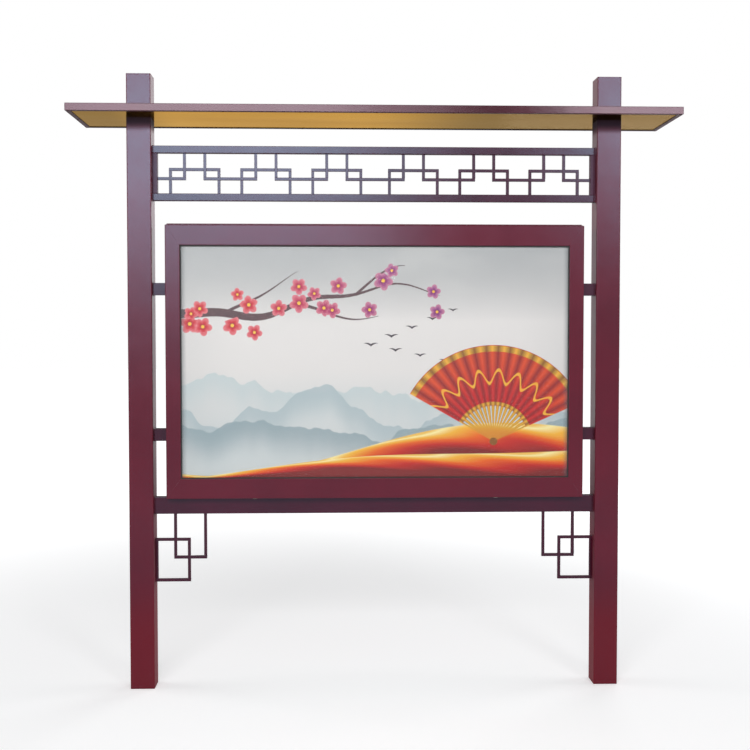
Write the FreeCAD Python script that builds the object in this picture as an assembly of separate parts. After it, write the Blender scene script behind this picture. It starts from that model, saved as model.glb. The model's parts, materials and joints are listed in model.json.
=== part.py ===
import FreeCAD, Part
import math
import os

# Light box billboard on two posts, in millimetres. X runs along the board, the front faces -Y,
# Z is up, and the origin lies on the ground midway between the posts.

V = FreeCAD.Vector
X_AXIS = V(1, 0, 0)
Y_AXIS = V(0, 1, 0)
Z_AXIS = V(0, 0, 1)
SIDES = (-1, 1)

# Clearances
RUN_FIT = 0.05
HOLE_FIT = 0.1
SOFT_GAP = 0.3
SLIP_FIT = 1.0

# How far a cutting tool reaches past the face it opens
OVERCUT = 1.0

# Posts
POST = 100.0
POST_WALL = 3.0
POST_CORNER = 4.0
POST_GAP = 1840.0
HEIGHT = 2540.0
CAP = 4.0
FOOT = 12.0
FOOT_HOLE = 5.1
FOOT_PITCH = 56.0
POST_X = (POST_GAP + POST) / 2
SPAN = (-POST_GAP / 2, POST_GAP / 2)

# Canopy: a folded tray closed by a soffit, on two channels bolted to the posts
CANOPY_END = 215.0
CANOPY_LENGTH = POST_GAP + 2 * POST + 2 * CANOPY_END
CANOPY_DEPTH = 410.0
CANOPY_THICKNESS = 30.0
POST_RISE = 150.0
CANOPY_HIGH = HEIGHT - POST_RISE
CANOPY_LOW = CANOPY_HIGH - CANOPY_THICKNESS
CANOPY_SHEET = 2.0
CANOPY_LIP = 20.0
BEARER_WIDTH = 40.0
BEARER_WALL = 3.0
BEARER_END_GAP = 12.0
BEARER_BOLT = 5.0
BEARER_BOLT_HEAD = (7.5, 6.5)
BEARER_BOLT_TAIL = 10.0
BEARER_NUT = 8.0

# Fretwork transom between the posts and the fret corners under the rail
FRET_RAIL = 30.0
FRET_WALL = 2.0
FRET_STILE = 20.0
FRET_BAR = 12.0
TRANSOM_GAP = 107.0
TRANSOM_HEIGHT = 226.0
TRANSOM_HIGH = CANOPY_LOW - TRANSOM_GAP
TRANSOM_LOW = TRANSOM_HIGH - TRANSOM_HEIGHT
FRET_PAIRS = 3
FRET_MIDDLE = 12.5
FRET_END = 25.5
FRET_PITCH = (POST_GAP / 2 - FRET_MIDDLE - FRET_END) / FRET_PAIRS
FRET_FIRST = FRET_PITCH / 2 + FRET_MIDDLE
STANDING_HALF = 0.34 * FRET_PITCH
HANGING_HALF = 0.357 * FRET_PITCH
STANDING_TOP = TRANSOM_LOW + 0.575 * TRANSOM_HEIGHT
HANGING_LOW = TRANSOM_LOW + 0.407 * TRANSOM_HEIGHT

# Light box
BOX_SIDE_GAP = 57.0
BOX_TOP_GAP = 104.0
BOX_WIDTH = POST_GAP - 2 * BOX_SIDE_GAP
BOX_HEIGHT = 1126.0
BOX_HIGH = TRANSOM_LOW - BOX_TOP_GAP
BOX_LOW = BOX_HIGH - BOX_HEIGHT
BOX_FRONT = -38.0
BOX_BACK = 48.0
BOX_SHEET = 2.0
BOX_FLANGE = 20.0
BACK_SHEET = 2.0
SLOT_SIZE = (36.0, 6.0)
SLOT_PITCH = 48.0
SLOT_COUNT = 6
SLOT_GROUP_X = BOX_WIDTH / 4

# Lower rail, and the fret corners below it, measured down from its underside and in from a post
LOWER_RAIL = (40.0, 70.0)
LOWER_RAIL_WALL = 3.0
RAIL_LOW = BOX_LOW - LOWER_RAIL[1]
POST_LOOP_REACH = 141.0
POST_LOOP_TOP = RAIL_LOW - 110.0
POST_LOOP_LOW = POST_LOOP_TOP - 171.0
RAIL_LOOP_NEAR = 84.0
RAIL_LOOP_FAR = 209.0
RAIL_LOOP_LOW = RAIL_LOW - 185.0

# Stubs that tie the box to the posts
STUB = 50.0
STUB_WALL = 3.0
STUB_PLATE = 6.0
STUB_RISE = 0.2686 * BOX_HEIGHT
STUB_BOLT = 4.0
STUB_BOLT_HEAD = (6.5, 5.5)
STUB_BOLT_TAIL = 5.0
STUB_BOLT_OFFSET = 15.5
WIRE_HOLE = 12.0
GLAND = 10.0
GLAND_TAIL = 4.0
GLAND_FLANGE = (24.0, 5.0)
GLAND_DOME = (9.0, 14.0)
GLAND_BORE = 4.0

# Lighting inside the box
LED_BARS = 8
LED_MARGIN = 163.0
LED_PITCH = (BOX_WIDTH - 2 * LED_MARGIN) / (LED_BARS - 1)
LED_BAR = (24.0, 8.0)
LED_BAR_WALL = 2.0
LED_BAR_Z = (BOX_LOW + 83.0, BOX_HIGH - 45.0)
LED_MODULES = 5
LED_MODULE = (16.0, 6.0, 60.0)
DRIVER = (240.0, 32.0, 46.0)
DRIVER_X = BOX_WIDTH / 5
DRIVER_GAP = 6.0
DRIVER_GROOVES = 7
DRIVER_GROOVE = (8.0, 4.0)
DRIVER_GROOVED = 0.8 * DRIVER[0]
TERMINAL = (90.0, 20.0, 24.0)
TERMINAL_WAYS = 6
TERMINAL_WELL = (7.0, 8.0)

# Door: four mitred hollow bars with a lip over the glass
DOOR_STILE = 60.0
DOOR_RAIL = 83.0
DOOR_FRONT = -76.0
DOOR_BACK = -40.0
DOOR_WALL = 2.5
DOOR_EDGE = 3.0
DOOR_LIP = 4.0
DOOR_BEVEL = 2.0
DOOR_REBATE = 22.0
KEY_LEG = 82.0
KEY_SHEET = 4.0
KEY_SLACK = 2.0
KEY_MITRE_SLACK = 3.0
GASKET = 1.5
GLASS = 5.0
POSTER = 0.8
DIFFUSER = 3.0
PANE_LAP = 18.0
GASKET_LAP = (-5.0, 16.0)
RETAINER = (15.0, 16.0)
RETAINER_SHEET = 2.0
SEAL_WIDTH = 12.0

# Continuous door hinge on top of the box
HINGE_MARGIN = 4.0
HINGE_LENGTH = BOX_WIDTH - 2 * HINGE_MARGIN
KNUCKLES = 5
KNUCKLE = 4.0
HINGE_PIN = 2.5
LEAF = 2.0
LEAF_REACH = 32.0
HINGE_Y = (DOOR_BACK + BOX_FRONT) / 2
HINGE_Z = BOX_HIGH + KNUCKLE

# Gas struts
STRUT_X = BOX_WIDTH / 2 - BOX_FLANGE - 13.0
STRUT_DOOR_DROP = 120.0
STRUT_DOOR_Y = -20.0
STRUT_BOX_DROP = 560.0
STRUT_BOX_Y = 25.0
STRUT_TUBE = 9.0
STRUT_TUBE_WALL = 1.4
STRUT_TUBE_RUN = (20.0, 282.0)
STRUT_BASE = 6.0
STRUT_GUIDE = 10.0
STRUT_ROD = 4.0
STRUT_PISTON_AT = 150.0
STRUT_PISTON = 12.0
EYE = 9.0
EYE_WIDTH = 9.0
STUD = 4.0
STUD_SHOULDER = 7.0
STUD_WASHER = (6.0, 3.0)
BRACKET_SHEET = 3.0
BOX_BRACKET = (36.0, 60.0)
DOOR_BRACKET = (13.0, 60.0)
DOOR_BRACKET_SETBACK = 2.0
DOOR_BRACKET_TAB = (8.0, 24.0)

# Cam locks in the underside of the door
LOCK_INSET = 363.0
LOCK_X = BOX_WIDTH / 2 - LOCK_INSET
LOCK_Y = (DOOR_FRONT + DOOR_BACK) / 2
BARREL = 8.0
BARREL_HEAD = (10.0, 2.0)
BARREL_RUN = 24.0
PLUG = 5.0
PLUG_PROUD = 1.5
PLUG_TENON = 7.0
KEY_SOCKET = (5.0, 8.0)
LOCK_NUT = 12.0
LOCK_NUT_HEIGHT = 4.0
CAM_SHEET = 3.0
CAM_ARM = 10.0
CAM_HUB = 7.5
CAM_SCREW = (10.0, 3.0)
CAM_REACH = (33.0, 37.0)
CAM_HOOK_DEG = 26.0
CAM_HEEL_DEG = 8.0
CAM_WINDOW_GAP = 3.0
KEEPER = 3.0
KEEPER_RADIUS = 29.0
KEEPER_DEG = 23.0
KEEPER_RISE = 30.0

NODES = {}


def add(name, solids):
    """Keep the solids of one named piece or group."""
    NODES[name] = list(solids)


def inset(span, amount):
    return (span[0] + amount, span[1] - amount)


def around(centre, size):
    return (centre - size / 2, centre + size / 2)


def mirrored(side, near, far):
    """A span given for the positive side, on either side."""
    return tuple(sorted((side * near, side * far)))


def block(x, y, z):
    return Part.makeBox(x[1] - x[0], y[1] - y[0], z[1] - z[0], V(x[0], y[0], z[0]))


def hollow_x(x, y, z, wall):
    """Rectangular tube along X."""
    return block(x, y, z).cut(block(inset(x, -OVERCUT), inset(y, wall), inset(z, wall)))


def hollow_z(x, y, z, wall):
    """Rectangular tube along Z."""
    return block(x, y, z).cut(block(inset(x, wall), inset(y, wall), inset(z, -OVERCUT)))


def rod(start, end, radius):
    axis = end.sub(start)
    return Part.makeCylinder(radius, axis.Length, start, axis)


def fused(solids):
    """One solid out of pieces that are welded or made as one."""
    result = solids[0].multiFuse(solids[1:])
    return result.removeSplitter().Solids[0]


def cut_nodes(names, tools):
    """Take the tools out of every solid of the named pieces."""
    tool = Part.makeCompound(tools)
    for name in names:
        NODES[name] = [part for solid in NODES[name] for part in solid.cut(tool).Solids]


def hexagon(centre, axis, flats, height):
    """Hexagonal prism across the given flats, standing on centre along axis."""
    radius = flats / math.sqrt(3)
    turn = FreeCAD.Rotation(Z_AXIS, axis)
    corners = []
    for step in range(7):
        angle = math.radians(60 * step)
        corner = V(radius * math.cos(angle), radius * math.sin(angle), 0)
        corners.append(centre.add(turn.multVec(corner)))
    return Part.Face(Part.makePolygon(corners)).extrude(V(axis) * height)


def fasten(name, sites, into, grip, shank, head, plates):
    """Hexagon bolts at sites on an outer face, with their holes through the named pieces."""
    inward = V(into)
    drills = []
    pieces = []
    for site in sites:
        start = site.sub(inward * OVERCUT)
        drills.append(rod(start, site.add(inward * (grip + OVERCUT)), shank + HOLE_FIT))
        stem = rod(site, site.add(inward * grip), shank)
        cap = hexagon(site, inward * -1, 2 * head[0], head[1])
        pieces.append(fused([stem, cap]))
    cut_nodes(plates, drills)
    add(name, pieces)


def square_bar(x_centre, z, radius):
    """Upright square bar with rounded long edges, as wide as a post."""
    bar = block(around(x_centre, POST), around(0, POST), z)
    boxes = [(edge, edge.BoundBox) for edge in bar.Edges]
    upright = [edge for edge, box in boxes if box.ZLength > box.XLength + box.YLength]
    return bar.makeFillet(radius, upright)


def posts():
    caps = []
    feet = []
    for side, name in zip(SIDES, ("left_post", "right_post")):
        centre = side * POST_X
        run = (FOOT, HEIGHT - CAP)
        across = around(centre, POST - 2 * POST_WALL)
        core = block(across, inset(around(0, POST), POST_WALL), inset(run, -OVERCUT))
        add(name, [square_bar(centre, run, POST_CORNER).cut(core)])
        caps.append(square_bar(centre, (HEIGHT - CAP, HEIGHT), POST_CORNER))
        holes = []
        for dx in around(centre, FOOT_PITCH):
            for dy in around(0, FOOT_PITCH):
                holes.append(rod(V(dx, dy, -OVERCUT), V(dx, dy, FOOT + OVERCUT), FOOT_HOLE))
        feet.append(square_bar(centre, (0, FOOT), POST_CORNER).cut(Part.makeCompound(holes)))
    add("post_caps", caps)
    add("foot_plates", feet)


def canopy():
    length = around(0, CANOPY_LENGTH)
    depth = around(0, CANOPY_DEPTH)
    height = (CANOPY_LOW, CANOPY_HIGH)
    post_holes = []
    for side in SIDES:
        hole = POST + 2 * SLIP_FIT
        post_holes.append(block(around(side * POST_X, hole), around(0, hole), inset(height, -OVERCUT)))
    sheet = CANOPY_SHEET
    tray = block(length, depth, height)
    tray = tray.cut(block(inset(length, sheet), inset(depth, sheet), inset(height, sheet)))
    lip = (CANOPY_LOW - OVERCUT, CANOPY_LOW + sheet)
    mouth = block(inset(length, CANOPY_LIP), inset(depth, CANOPY_LIP), lip)
    add("canopy_skin", [tray.cut(mouth)])
    floor = (CANOPY_LOW + sheet, CANOPY_LOW + 2 * sheet)
    soffit = block(inset(length, sheet + SLIP_FIT), inset(depth, sheet + SLIP_FIT), floor)
    add("canopy_soffit", [soffit])
    cut_nodes(("canopy_skin", "canopy_soffit"), post_holes)
    bearers = []
    run = inset(length, BEARER_END_GAP)
    rise = (floor[1], CANOPY_HIGH - sheet)
    for side in SIDES:
        channel = block(run, mirrored(side, POST / 2, POST / 2 + BEARER_WIDTH), rise)
        groove = mirrored(side, POST / 2 + BEARER_WALL, POST / 2 + BEARER_WIDTH + OVERCUT)
        bearers.append(channel.cut(block(inset(run, -OVERCUT), groove, inset(rise, BEARER_WALL))))
    add("canopy_bearers", bearers)


def canopy_bolts():
    middle = (CANOPY_LOW + CANOPY_HIGH + CANOPY_SHEET) / 2
    outer = POST / 2 + BEARER_WALL
    sites = [V(side * POST_X, -outer, middle) for side in SIDES]
    grip = 2 * outer + BEARER_BOLT_TAIL
    fasten("canopy_bolts", sites, Y_AXIS, grip, BEARER_BOLT, BEARER_BOLT_HEAD,
           ("canopy_bearers", "left_post", "right_post"))
    nuts = []
    for side in SIDES:
        seat = V(side * POST_X, outer, middle)
        bore = rod(seat, seat.add(Y_AXIS * BEARER_NUT), BEARER_BOLT + HOLE_FIT)
        nuts.append(hexagon(seat, Y_AXIS, 2 * BEARER_BOLT_HEAD[0], BEARER_NUT).cut(bore))
    NODES["canopy_bolts"] += nuts


def fret_u(x, z, on_top, legs=SIDES):
    """Square bars of a U: a cross bar at the top or the bottom of z, and legs at the ends named."""
    deep = around(0, FRET_BAR)
    if on_top:
        cross_z, leg_z = (z[1] - FRET_BAR, z[1]), (z[0], z[1] - FRET_BAR)
    else:
        cross_z, leg_z = (z[0], z[0] + FRET_BAR), (z[0] + FRET_BAR, z[1])
    ends = {-1: (x[0], x[0] + FRET_BAR), 1: (x[1] - FRET_BAR, x[1])}
    return [block(x, deep, cross_z)] + [block(ends[leg], deep, leg_z) for leg in legs]


def cross_halved(first, second):
    """Let two sets of bars pass each other, each keeping half its depth where they cross."""
    crossing = Part.makeCompound(first).common(Part.makeCompound(second))
    reach = (-HEIGHT, HEIGHT)
    front = crossing.common(block(reach, (-FRET_BAR, 0), reach))
    rear = crossing.common(block(reach, (0, FRET_BAR), reach))
    kept_rear = [bar.cut(front).Solids[0] for bar in first]
    kept_front = [bar.cut(rear).Solids[0] for bar in second]
    return kept_rear, kept_front


def transom():
    deep = around(0, FRET_RAIL)
    low = (TRANSOM_LOW, TRANSOM_LOW + FRET_RAIL)
    high = (TRANSOM_HIGH - FRET_RAIL, TRANSOM_HIGH)
    between = (low[1], high[0])
    add("transom_bottom_rail", [hollow_x(SPAN, deep, low, FRET_WALL)])
    add("transom_top_rail", [hollow_x(SPAN, deep, high, FRET_WALL)])
    stiles = []
    for side in SIDES:
        across = mirrored(side, SPAN[1] - FRET_STILE, SPAN[1])
        stiles.append(hollow_z(across, deep, between, FRET_WALL))
    add("transom_stiles", stiles)
    half_bar = FRET_BAR / 2
    standing = []
    hanging = []
    stand_z = (between[0], STANDING_TOP + half_bar)
    hang_z = (HANGING_LOW - half_bar, between[1])
    middle_half = FRET_FIRST - FRET_PITCH / 2 + HANGING_HALF + half_bar
    hanging += fret_u((-middle_half, middle_half), hang_z, False)
    for side in SIDES:
        for step in range(FRET_PAIRS):
            centre = FRET_FIRST + FRET_PITCH * step
            reach = STANDING_HALF + half_bar
            standing += fret_u(mirrored(side, centre - reach, centre + reach), stand_z, True)
            next_centre = centre + FRET_PITCH / 2
            near = next_centre - HANGING_HALF - half_bar
            far = next_centre + HANGING_HALF + half_bar
            if step < FRET_PAIRS - 1:
                hanging += fret_u(mirrored(side, near, far), hang_z, False)
            else:
                hanging += fret_u(mirrored(side, near, SPAN[1] - FRET_STILE), hang_z, False, legs=(-side,))
    standing, hanging = cross_halved(standing, hanging)
    add("transom_standing_frets", standing)
    add("transom_hanging_frets", hanging)


def lower_rail_and_corners():
    rail_z = (RAIL_LOW, BOX_LOW)
    add("lower_rail", [hollow_x(SPAN, around(0, LOWER_RAIL[0]), rail_z, LOWER_RAIL_WALL)])
    half_bar = FRET_BAR / 2
    post_loops = []
    rail_loops = []
    for side in SIDES:
        face = SPAN[1]
        span = mirrored(side, face - POST_LOOP_REACH - half_bar, face)
        tall = (POST_LOOP_LOW - half_bar, POST_LOOP_TOP + half_bar)
        post_loops += fret_u(span, (tall[0] + FRET_BAR, tall[1]), True)
        post_loops.append(block(span, around(0, FRET_BAR), (tall[0], tall[0] + FRET_BAR)))
        span = mirrored(side, face - RAIL_LOOP_FAR - half_bar, face - RAIL_LOOP_NEAR + half_bar)
        rail_loops += fret_u(span, (RAIL_LOOP_LOW - half_bar, RAIL_LOW), False)
    post_loops, rail_loops = cross_halved(post_loops, rail_loops)
    add("corner_fret_post_loops", post_loops)
    add("corner_fret_rail_loops", rail_loops)


def mitre_wedges(outer, inner, y):
    """Four prisms that part a rectangular frame along lines from its outer to its inner corners."""
    (ox, oz), (ix, iz) = outer, inner
    corner_sets = {
        "top": ((ox[0], oz[1]), (ox[1], oz[1]), (ix[1], iz[1]), (ix[0], iz[1])),
        "bottom": ((ox[0], oz[0]), (ox[1], oz[0]), (ix[1], iz[0]), (ix[0], iz[0])),
        "left": ((ox[0], oz[0]), (ox[0], oz[1]), (ix[0], iz[1]), (ix[0], iz[0])),
        "right": ((ox[1], oz[0]), (ox[1], oz[1]), (ix[1], iz[1]), (ix[1], iz[0])),
    }
    wedges = {}
    for name, corners in corner_sets.items():
        points = [V(x, y[0], z) for x, z in corners]
        wedges[name] = Part.Face(Part.makePolygon(points + points[:1])).extrude(V(0, y[1] - y[0], 0))
    return wedges


def framed(section, outer, inner, y):
    """Mitred bars round a rectangle; section(width) gives the wires of a bar as (inset, y) points."""
    (ox, oz), (ix, iz) = outer, inner
    widths = {"top": oz[1] - iz[1], "bottom": iz[0] - oz[0], "left": ix[0] - ox[0], "right": ox[1] - ix[1]}
    place = {
        "top": lambda d, at: V(ox[0], at, oz[1] - d),
        "bottom": lambda d, at: V(ox[0], at, oz[0] + d),
        "left": lambda d, at: V(ox[0] + d, at, oz[0]),
        "right": lambda d, at: V(ox[1] - d, at, oz[0]),
    }
    along_x = V(ox[1] - ox[0], 0, 0)
    along_z = V(0, 0, oz[1] - oz[0])
    bars = {}
    wedges = mitre_wedges(outer, inner, y)
    for name, width in widths.items():
        faces = []
        for outline in section(width):
            points = [place[name](d, at) for d, at in outline]
            faces.append(Part.Face(Part.makePolygon(points + points[:1])))
        run = along_x if name in ("top", "bottom") else along_z
        bar = faces[0].extrude(run).common(wedges[name])
        for chamber in faces[1:]:
            bar = bar.cut(chamber.extrude(run))
        bars[name] = bar.Solids[0]
    return bars


BOX_OUTER = (around(0, BOX_WIDTH), (BOX_LOW, BOX_HIGH))
BOX_INNER = (inset(BOX_OUTER[0], BOX_FLANGE), inset(BOX_OUTER[1], BOX_FLANGE))
OPENING = (inset(BOX_OUTER[0], DOOR_STILE), inset(BOX_OUTER[1], DOOR_RAIL))
REBATE = (inset(OPENING[0], -DOOR_REBATE), inset(OPENING[1], -DOOR_REBATE))


def box_section(width):
    """Folded channel: wall with a front flange for the seal and a rear flange for the back panel."""
    t = BOX_SHEET
    return [[(0, BOX_FRONT), (width, BOX_FRONT), (width, BOX_FRONT + t), (t, BOX_FRONT + t),
             (t, BOX_BACK - t), (width, BOX_BACK - t), (width, BOX_BACK), (0, BOX_BACK)]]


def light_box():
    walls = framed(box_section, BOX_OUTER, BOX_INNER, inset((BOX_FRONT, BOX_BACK), -OVERCUT))
    for name, wall in walls.items():
        add("box_" + name + "_wall", [wall])
    slots = []
    behind_rail = (LOWER_RAIL[0] / 2 + BOX_BACK - BOX_SHEET) / 2
    for side in SIDES:
        for step in range(SLOT_COUNT):
            centre = side * SLOT_GROUP_X + SLOT_PITCH * (step - (SLOT_COUNT - 1) / 2)
            slot = block(around(centre, SLOT_SIZE[0]), around(behind_rail, SLOT_SIZE[1]),
                         inset((BOX_LOW, BOX_LOW + BOX_SHEET), -OVERCUT))
            slots.append(slot)
    cut_nodes(("box_bottom_wall",), slots)
    outline = (inset(BOX_OUTER[0], SLIP_FIT), inset(BOX_OUTER[1], SLIP_FIT))
    add("back_panel", [block(outline[0], (BOX_BACK, BOX_BACK + BACK_SHEET), outline[1])])


def stub_centres():
    middle = (BOX_LOW + BOX_HIGH) / 2
    return [middle - STUB_RISE, middle + STUB_RISE]


def stubs():
    pieces = []
    near = BOX_WIDTH / 2
    square = around(0, STUB)
    for side in SIDES:
        for z in stub_centres():
            tube = hollow_x(mirrored(side, near, SPAN[1]), square, around(z, STUB), STUB_WALL)
            filling = inset(square, STUB_WALL)
            plate = block(mirrored(side, near, near + STUB_PLATE), filling, around(z, STUB - 2 * STUB_WALL))
            pieces.append(fused([tube, plate]))
    add("box_stubs", pieces)
    inner = near - BOX_SHEET
    bolts = []
    for side, wall in zip(SIDES, ("box_left_wall", "box_right_wall")):
        sites = [V(side * inner, STUB_BOLT_OFFSET, z + STUB_BOLT_OFFSET) for z in stub_centres()]
        grip = BOX_SHEET + STUB_PLATE + STUB_BOLT_TAIL
        fasten("stub_bolts", sites, X_AXIS * side, grip, STUB_BOLT, STUB_BOLT_HEAD, (wall, "box_stubs"))
        bolts += NODES["stub_bolts"]
    add("stub_bolts", bolts)


def wire_entry():
    """Cable gland in the lower left stub, with the wire hole through the post behind it."""
    z = stub_centres()[0]
    wall = BOX_WIDTH / 2
    seat = V(-(wall - BOX_SHEET), 0, z)
    wire_way = rod(V(-POST_X, 0, z), V(OVERCUT - wall, 0, z), WIRE_HOLE)
    cut_nodes(("left_post", "box_stubs"), [wire_way])
    gland_hole = rod(V(-wall - OVERCUT, 0, z), seat.add(X_AXIS * OVERCUT), GLAND + HOLE_FIT)
    cut_nodes(("box_left_wall",), [gland_hole])
    tail = V(-(wall + STUB_PLATE + GLAND_TAIL), 0, z)
    neck = seat.add(X_AXIS * GLAND_FLANGE[1])
    mouth = neck.add(X_AXIS * GLAND_DOME[1])
    thread = rod(tail, seat, GLAND)
    flange = hexagon(seat, X_AXIS, GLAND_FLANGE[0], GLAND_FLANGE[1])
    dome = rod(neck, mouth, GLAND_DOME[0])
    bore = rod(tail.sub(X_AXIS * OVERCUT), mouth.add(X_AXIS * OVERCUT), GLAND_BORE)
    add("cable_gland", [fused([thread, flange, dome]).cut(bore)])


def lighting():
    bars = []
    modules = []
    deep = (BOX_BACK - LED_BAR[1], BOX_BACK)
    for step in range(LED_BARS):
        centre = LED_PITCH * (step - (LED_BARS - 1) / 2)
        across = around(centre, LED_BAR[0])
        channel = block(across, deep, LED_BAR_Z)
        groove = (deep[0] + LED_BAR_WALL, deep[1] + OVERCUT)
        hollow = block(inset(across, LED_BAR_WALL), groove, inset(LED_BAR_Z, -OVERCUT))
        bars.append(channel.cut(hollow))
        for module in range(LED_MODULES):
            z = LED_BAR_Z[0] + (LED_BAR_Z[1] - LED_BAR_Z[0]) * (module + 0.5) / LED_MODULES
            front = (deep[0] - LED_MODULE[1], deep[0])
            modules.append(block(around(centre, LED_MODULE[0]), front, around(z, LED_MODULE[2])))
    add("led_bars", bars)
    add("led_modules", modules)
    drivers = []
    low = BOX_LOW + BOX_FLANGE + DRIVER_GAP
    tall = (low, low + DRIVER[2])
    face = BOX_BACK - DRIVER[1]
    for side in SIDES:
        centre = side * DRIVER_X
        case = block(around(centre, DRIVER[0]), (face, BOX_BACK), tall)
        grooves = []
        for groove in range(DRIVER_GROOVES):
            at = centre + (groove - (DRIVER_GROOVES - 1) / 2) * DRIVER_GROOVED / DRIVER_GROOVES
            depth = (face - OVERCUT, face + DRIVER_GROOVE[1])
            grooves.append(block(around(at, DRIVER_GROOVE[0]), depth, inset(tall, -OVERCUT)))
        drivers.append(case.cut(Part.makeCompound(grooves)))
    add("led_drivers", drivers)
    face = BOX_BACK - TERMINAL[1]
    terminal = block(around(0, TERMINAL[0]), (face, BOX_BACK), (low, low + TERMINAL[2]))
    for way in range(TERMINAL_WAYS):
        x = TERMINAL[0] / TERMINAL_WAYS * (way - (TERMINAL_WAYS - 1) / 2)
        z = low + TERMINAL[2] / 2
        well = (face - OVERCUT, face + TERMINAL_WELL[1])
        terminal = terminal.cut(block(around(x, TERMINAL_WELL[0]), well, around(z, TERMINAL_WELL[0])))
    add("terminal_block", [terminal])


def door_outline(width):
    """Hollow bar with a lip over the glass and a rebate behind the lip."""
    heel = width - DOOR_REBATE
    outer = [(0, DOOR_FRONT), (width - DOOR_BEVEL, DOOR_FRONT), (width, DOOR_FRONT + DOOR_BEVEL),
             (width, DOOR_FRONT + DOOR_LIP), (heel, DOOR_FRONT + DOOR_LIP), (heel, DOOR_BACK), (0, DOOR_BACK)]
    t = DOOR_WALL
    chamber = [(t, DOOR_FRONT + t), (heel - t, DOOR_FRONT + t), (heel - t, DOOR_BACK - t), (t, DOOR_BACK - t)]
    return [outer, chamber]


def rounded_front(bar):
    """Round the long outer edge of a mitred door bar, the longest of its front edges."""
    front = [edge for edge in bar.Edges if edge.BoundBox.YMax < DOOR_FRONT + DOOR_BEVEL / 2]
    return bar.makeFillet(DOOR_EDGE, [max(front, key=lambda edge: edge.Length)])


def door_frame():
    bars = framed(door_outline, BOX_OUTER, OPENING, inset((DOOR_FRONT, DOOR_BACK), -OVERCUT))
    add("door_top_rail", [rounded_front(bars["top"])])
    add("door_bottom_rail", [rounded_front(bars["bottom"])])
    add("door_left_stile", [rounded_front(bars["left"])])
    add("door_right_stile", [rounded_front(bars["right"])])
    keys = []
    thick = (DOOR_BACK - DOOR_WALL - KEY_SHEET, DOOR_BACK - DOOR_WALL)
    rim = DOOR_WALL + KEY_SLACK
    stile_leg = DOOR_STILE - DOOR_REBATE - 2 * rim
    mitre_rise = (DOOR_STILE - DOOR_REBATE - DOOR_WALL) * DOOR_RAIL / DOOR_STILE
    rail_leg = mitre_rise - rim - KEY_MITRE_SLACK
    for side in SIDES:
        corner_x = BOX_WIDTH / 2 - rim
        for z, up in ((BOX_LOW + rim, 1), (BOX_HIGH - rim, -1)):
            upright_z = tuple(sorted((z, z + up * KEY_LEG)))
            level_z = tuple(sorted((z, z + up * rail_leg)))
            upright = block(mirrored(side, corner_x - stile_leg, corner_x), thick, upright_z)
            level = block(mirrored(side, corner_x - KEY_LEG, corner_x), thick, level_z)
            keys.append(fused([upright, level]))
    add("door_corner_keys", keys)


def pane(lap, y):
    return block(inset(OPENING[0], -lap), y, inset(OPENING[1], -lap))


def glazing():
    seat = DOOR_FRONT + DOOR_LIP
    gasket = (seat, seat + GASKET)
    glass = (gasket[1], gasket[1] + GLASS)
    poster = (glass[1], glass[1] + POSTER)
    diffuser = (poster[1], poster[1] + DIFFUSER)
    add("glass_gasket", [pane(GASKET_LAP[1], gasket).cut(pane(GASKET_LAP[0], inset(gasket, -OVERCUT)))])
    add("front_glass", [pane(PANE_LAP, glass)])
    add("poster_sheet", [pane(PANE_LAP - SLIP_FIT, poster)])
    add("diffuser_panel", [pane(PANE_LAP, diffuser)])

    def angle(width):
        t = RETAINER_SHEET
        front = diffuser[1]
        return [[(0, front), (width, front), (width, front + t), (t, front + t),
                 (t, front + RETAINER[1]), (0, front + RETAINER[1])]]

    inner = (inset(REBATE[0], RETAINER[0]), inset(REBATE[1], RETAINER[0]))
    deep = (diffuser[1], diffuser[1] + RETAINER[1])
    angles = framed(angle, REBATE, inner, inset(deep, -OVERCUT))
    add("panel_retainers", angles.values())


def door_seal():
    rim = (BOX_FLANGE - SEAL_WIDTH) / 2
    y = (DOOR_BACK + SOFT_GAP, BOX_FRONT)
    outer = block(inset(BOX_OUTER[0], rim), y, inset(BOX_OUTER[1], rim))
    edge = rim + SEAL_WIDTH
    hole = block(inset(BOX_OUTER[0], edge), inset(y, -OVERCUT), inset(BOX_OUTER[1], edge))
    add("door_seal", [outer.cut(hole)])


def hinge_line(run, radius):
    """Rod along the hinge axis."""
    return rod(V(run[0], HINGE_Y, HINGE_Z), V(run[1], HINGE_Y, HINGE_Z), radius)


def hinge_leaf(toward, knuckles):
    """One leaf with its own knuckles; toward is +1 for the box side and -1 for the door side."""
    length = around(0, HINGE_LENGTH)
    step = HINGE_LENGTH / KNUCKLES
    flat = (BOX_HIGH, BOX_HIGH + LEAF)
    clear = KNUCKLE + SOFT_GAP
    plate_y = sorted((HINGE_Y + toward * clear, HINGE_Y + toward * LEAF_REACH))
    solids = [block(length, plate_y, flat)]
    for index in knuckles:
        run = inset((length[0] + index * step, length[0] + (index + 1) * step), SOFT_GAP / 2)
        web_y = sorted((HINGE_Y, HINGE_Y + toward * (clear + LEAF)))
        solids.append(block(run, web_y, flat))
        solids.append(hinge_line(run, KNUCKLE))
    return fused(solids).cut(hinge_line(inset(length, -OVERCUT), HINGE_PIN + RUN_FIT)).Solids[0]


def hinge():
    add("hinge_box_leaf", [hinge_leaf(1, range(0, KNUCKLES, 2))])
    add("hinge_door_leaf", [hinge_leaf(-1, range(1, KNUCKLES, 2))])
    add("hinge_pin", [hinge_line(inset(around(0, HINGE_LENGTH), SLIP_FIT), HINGE_PIN)])


def strut_line():
    """Strut pivots at rest as (y, z) places on the box and on the door."""
    on_box = V(0, STRUT_BOX_Y, HINGE_Z - STRUT_BOX_DROP)
    on_door = V(0, STRUT_DOOR_Y, HINGE_Z - STRUT_DOOR_DROP)
    return on_box, on_door


def eye_at(centre):
    half = X_AXIS * (EYE_WIDTH / 2)
    return rod(centre.sub(half), centre.add(half), EYE)


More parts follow.
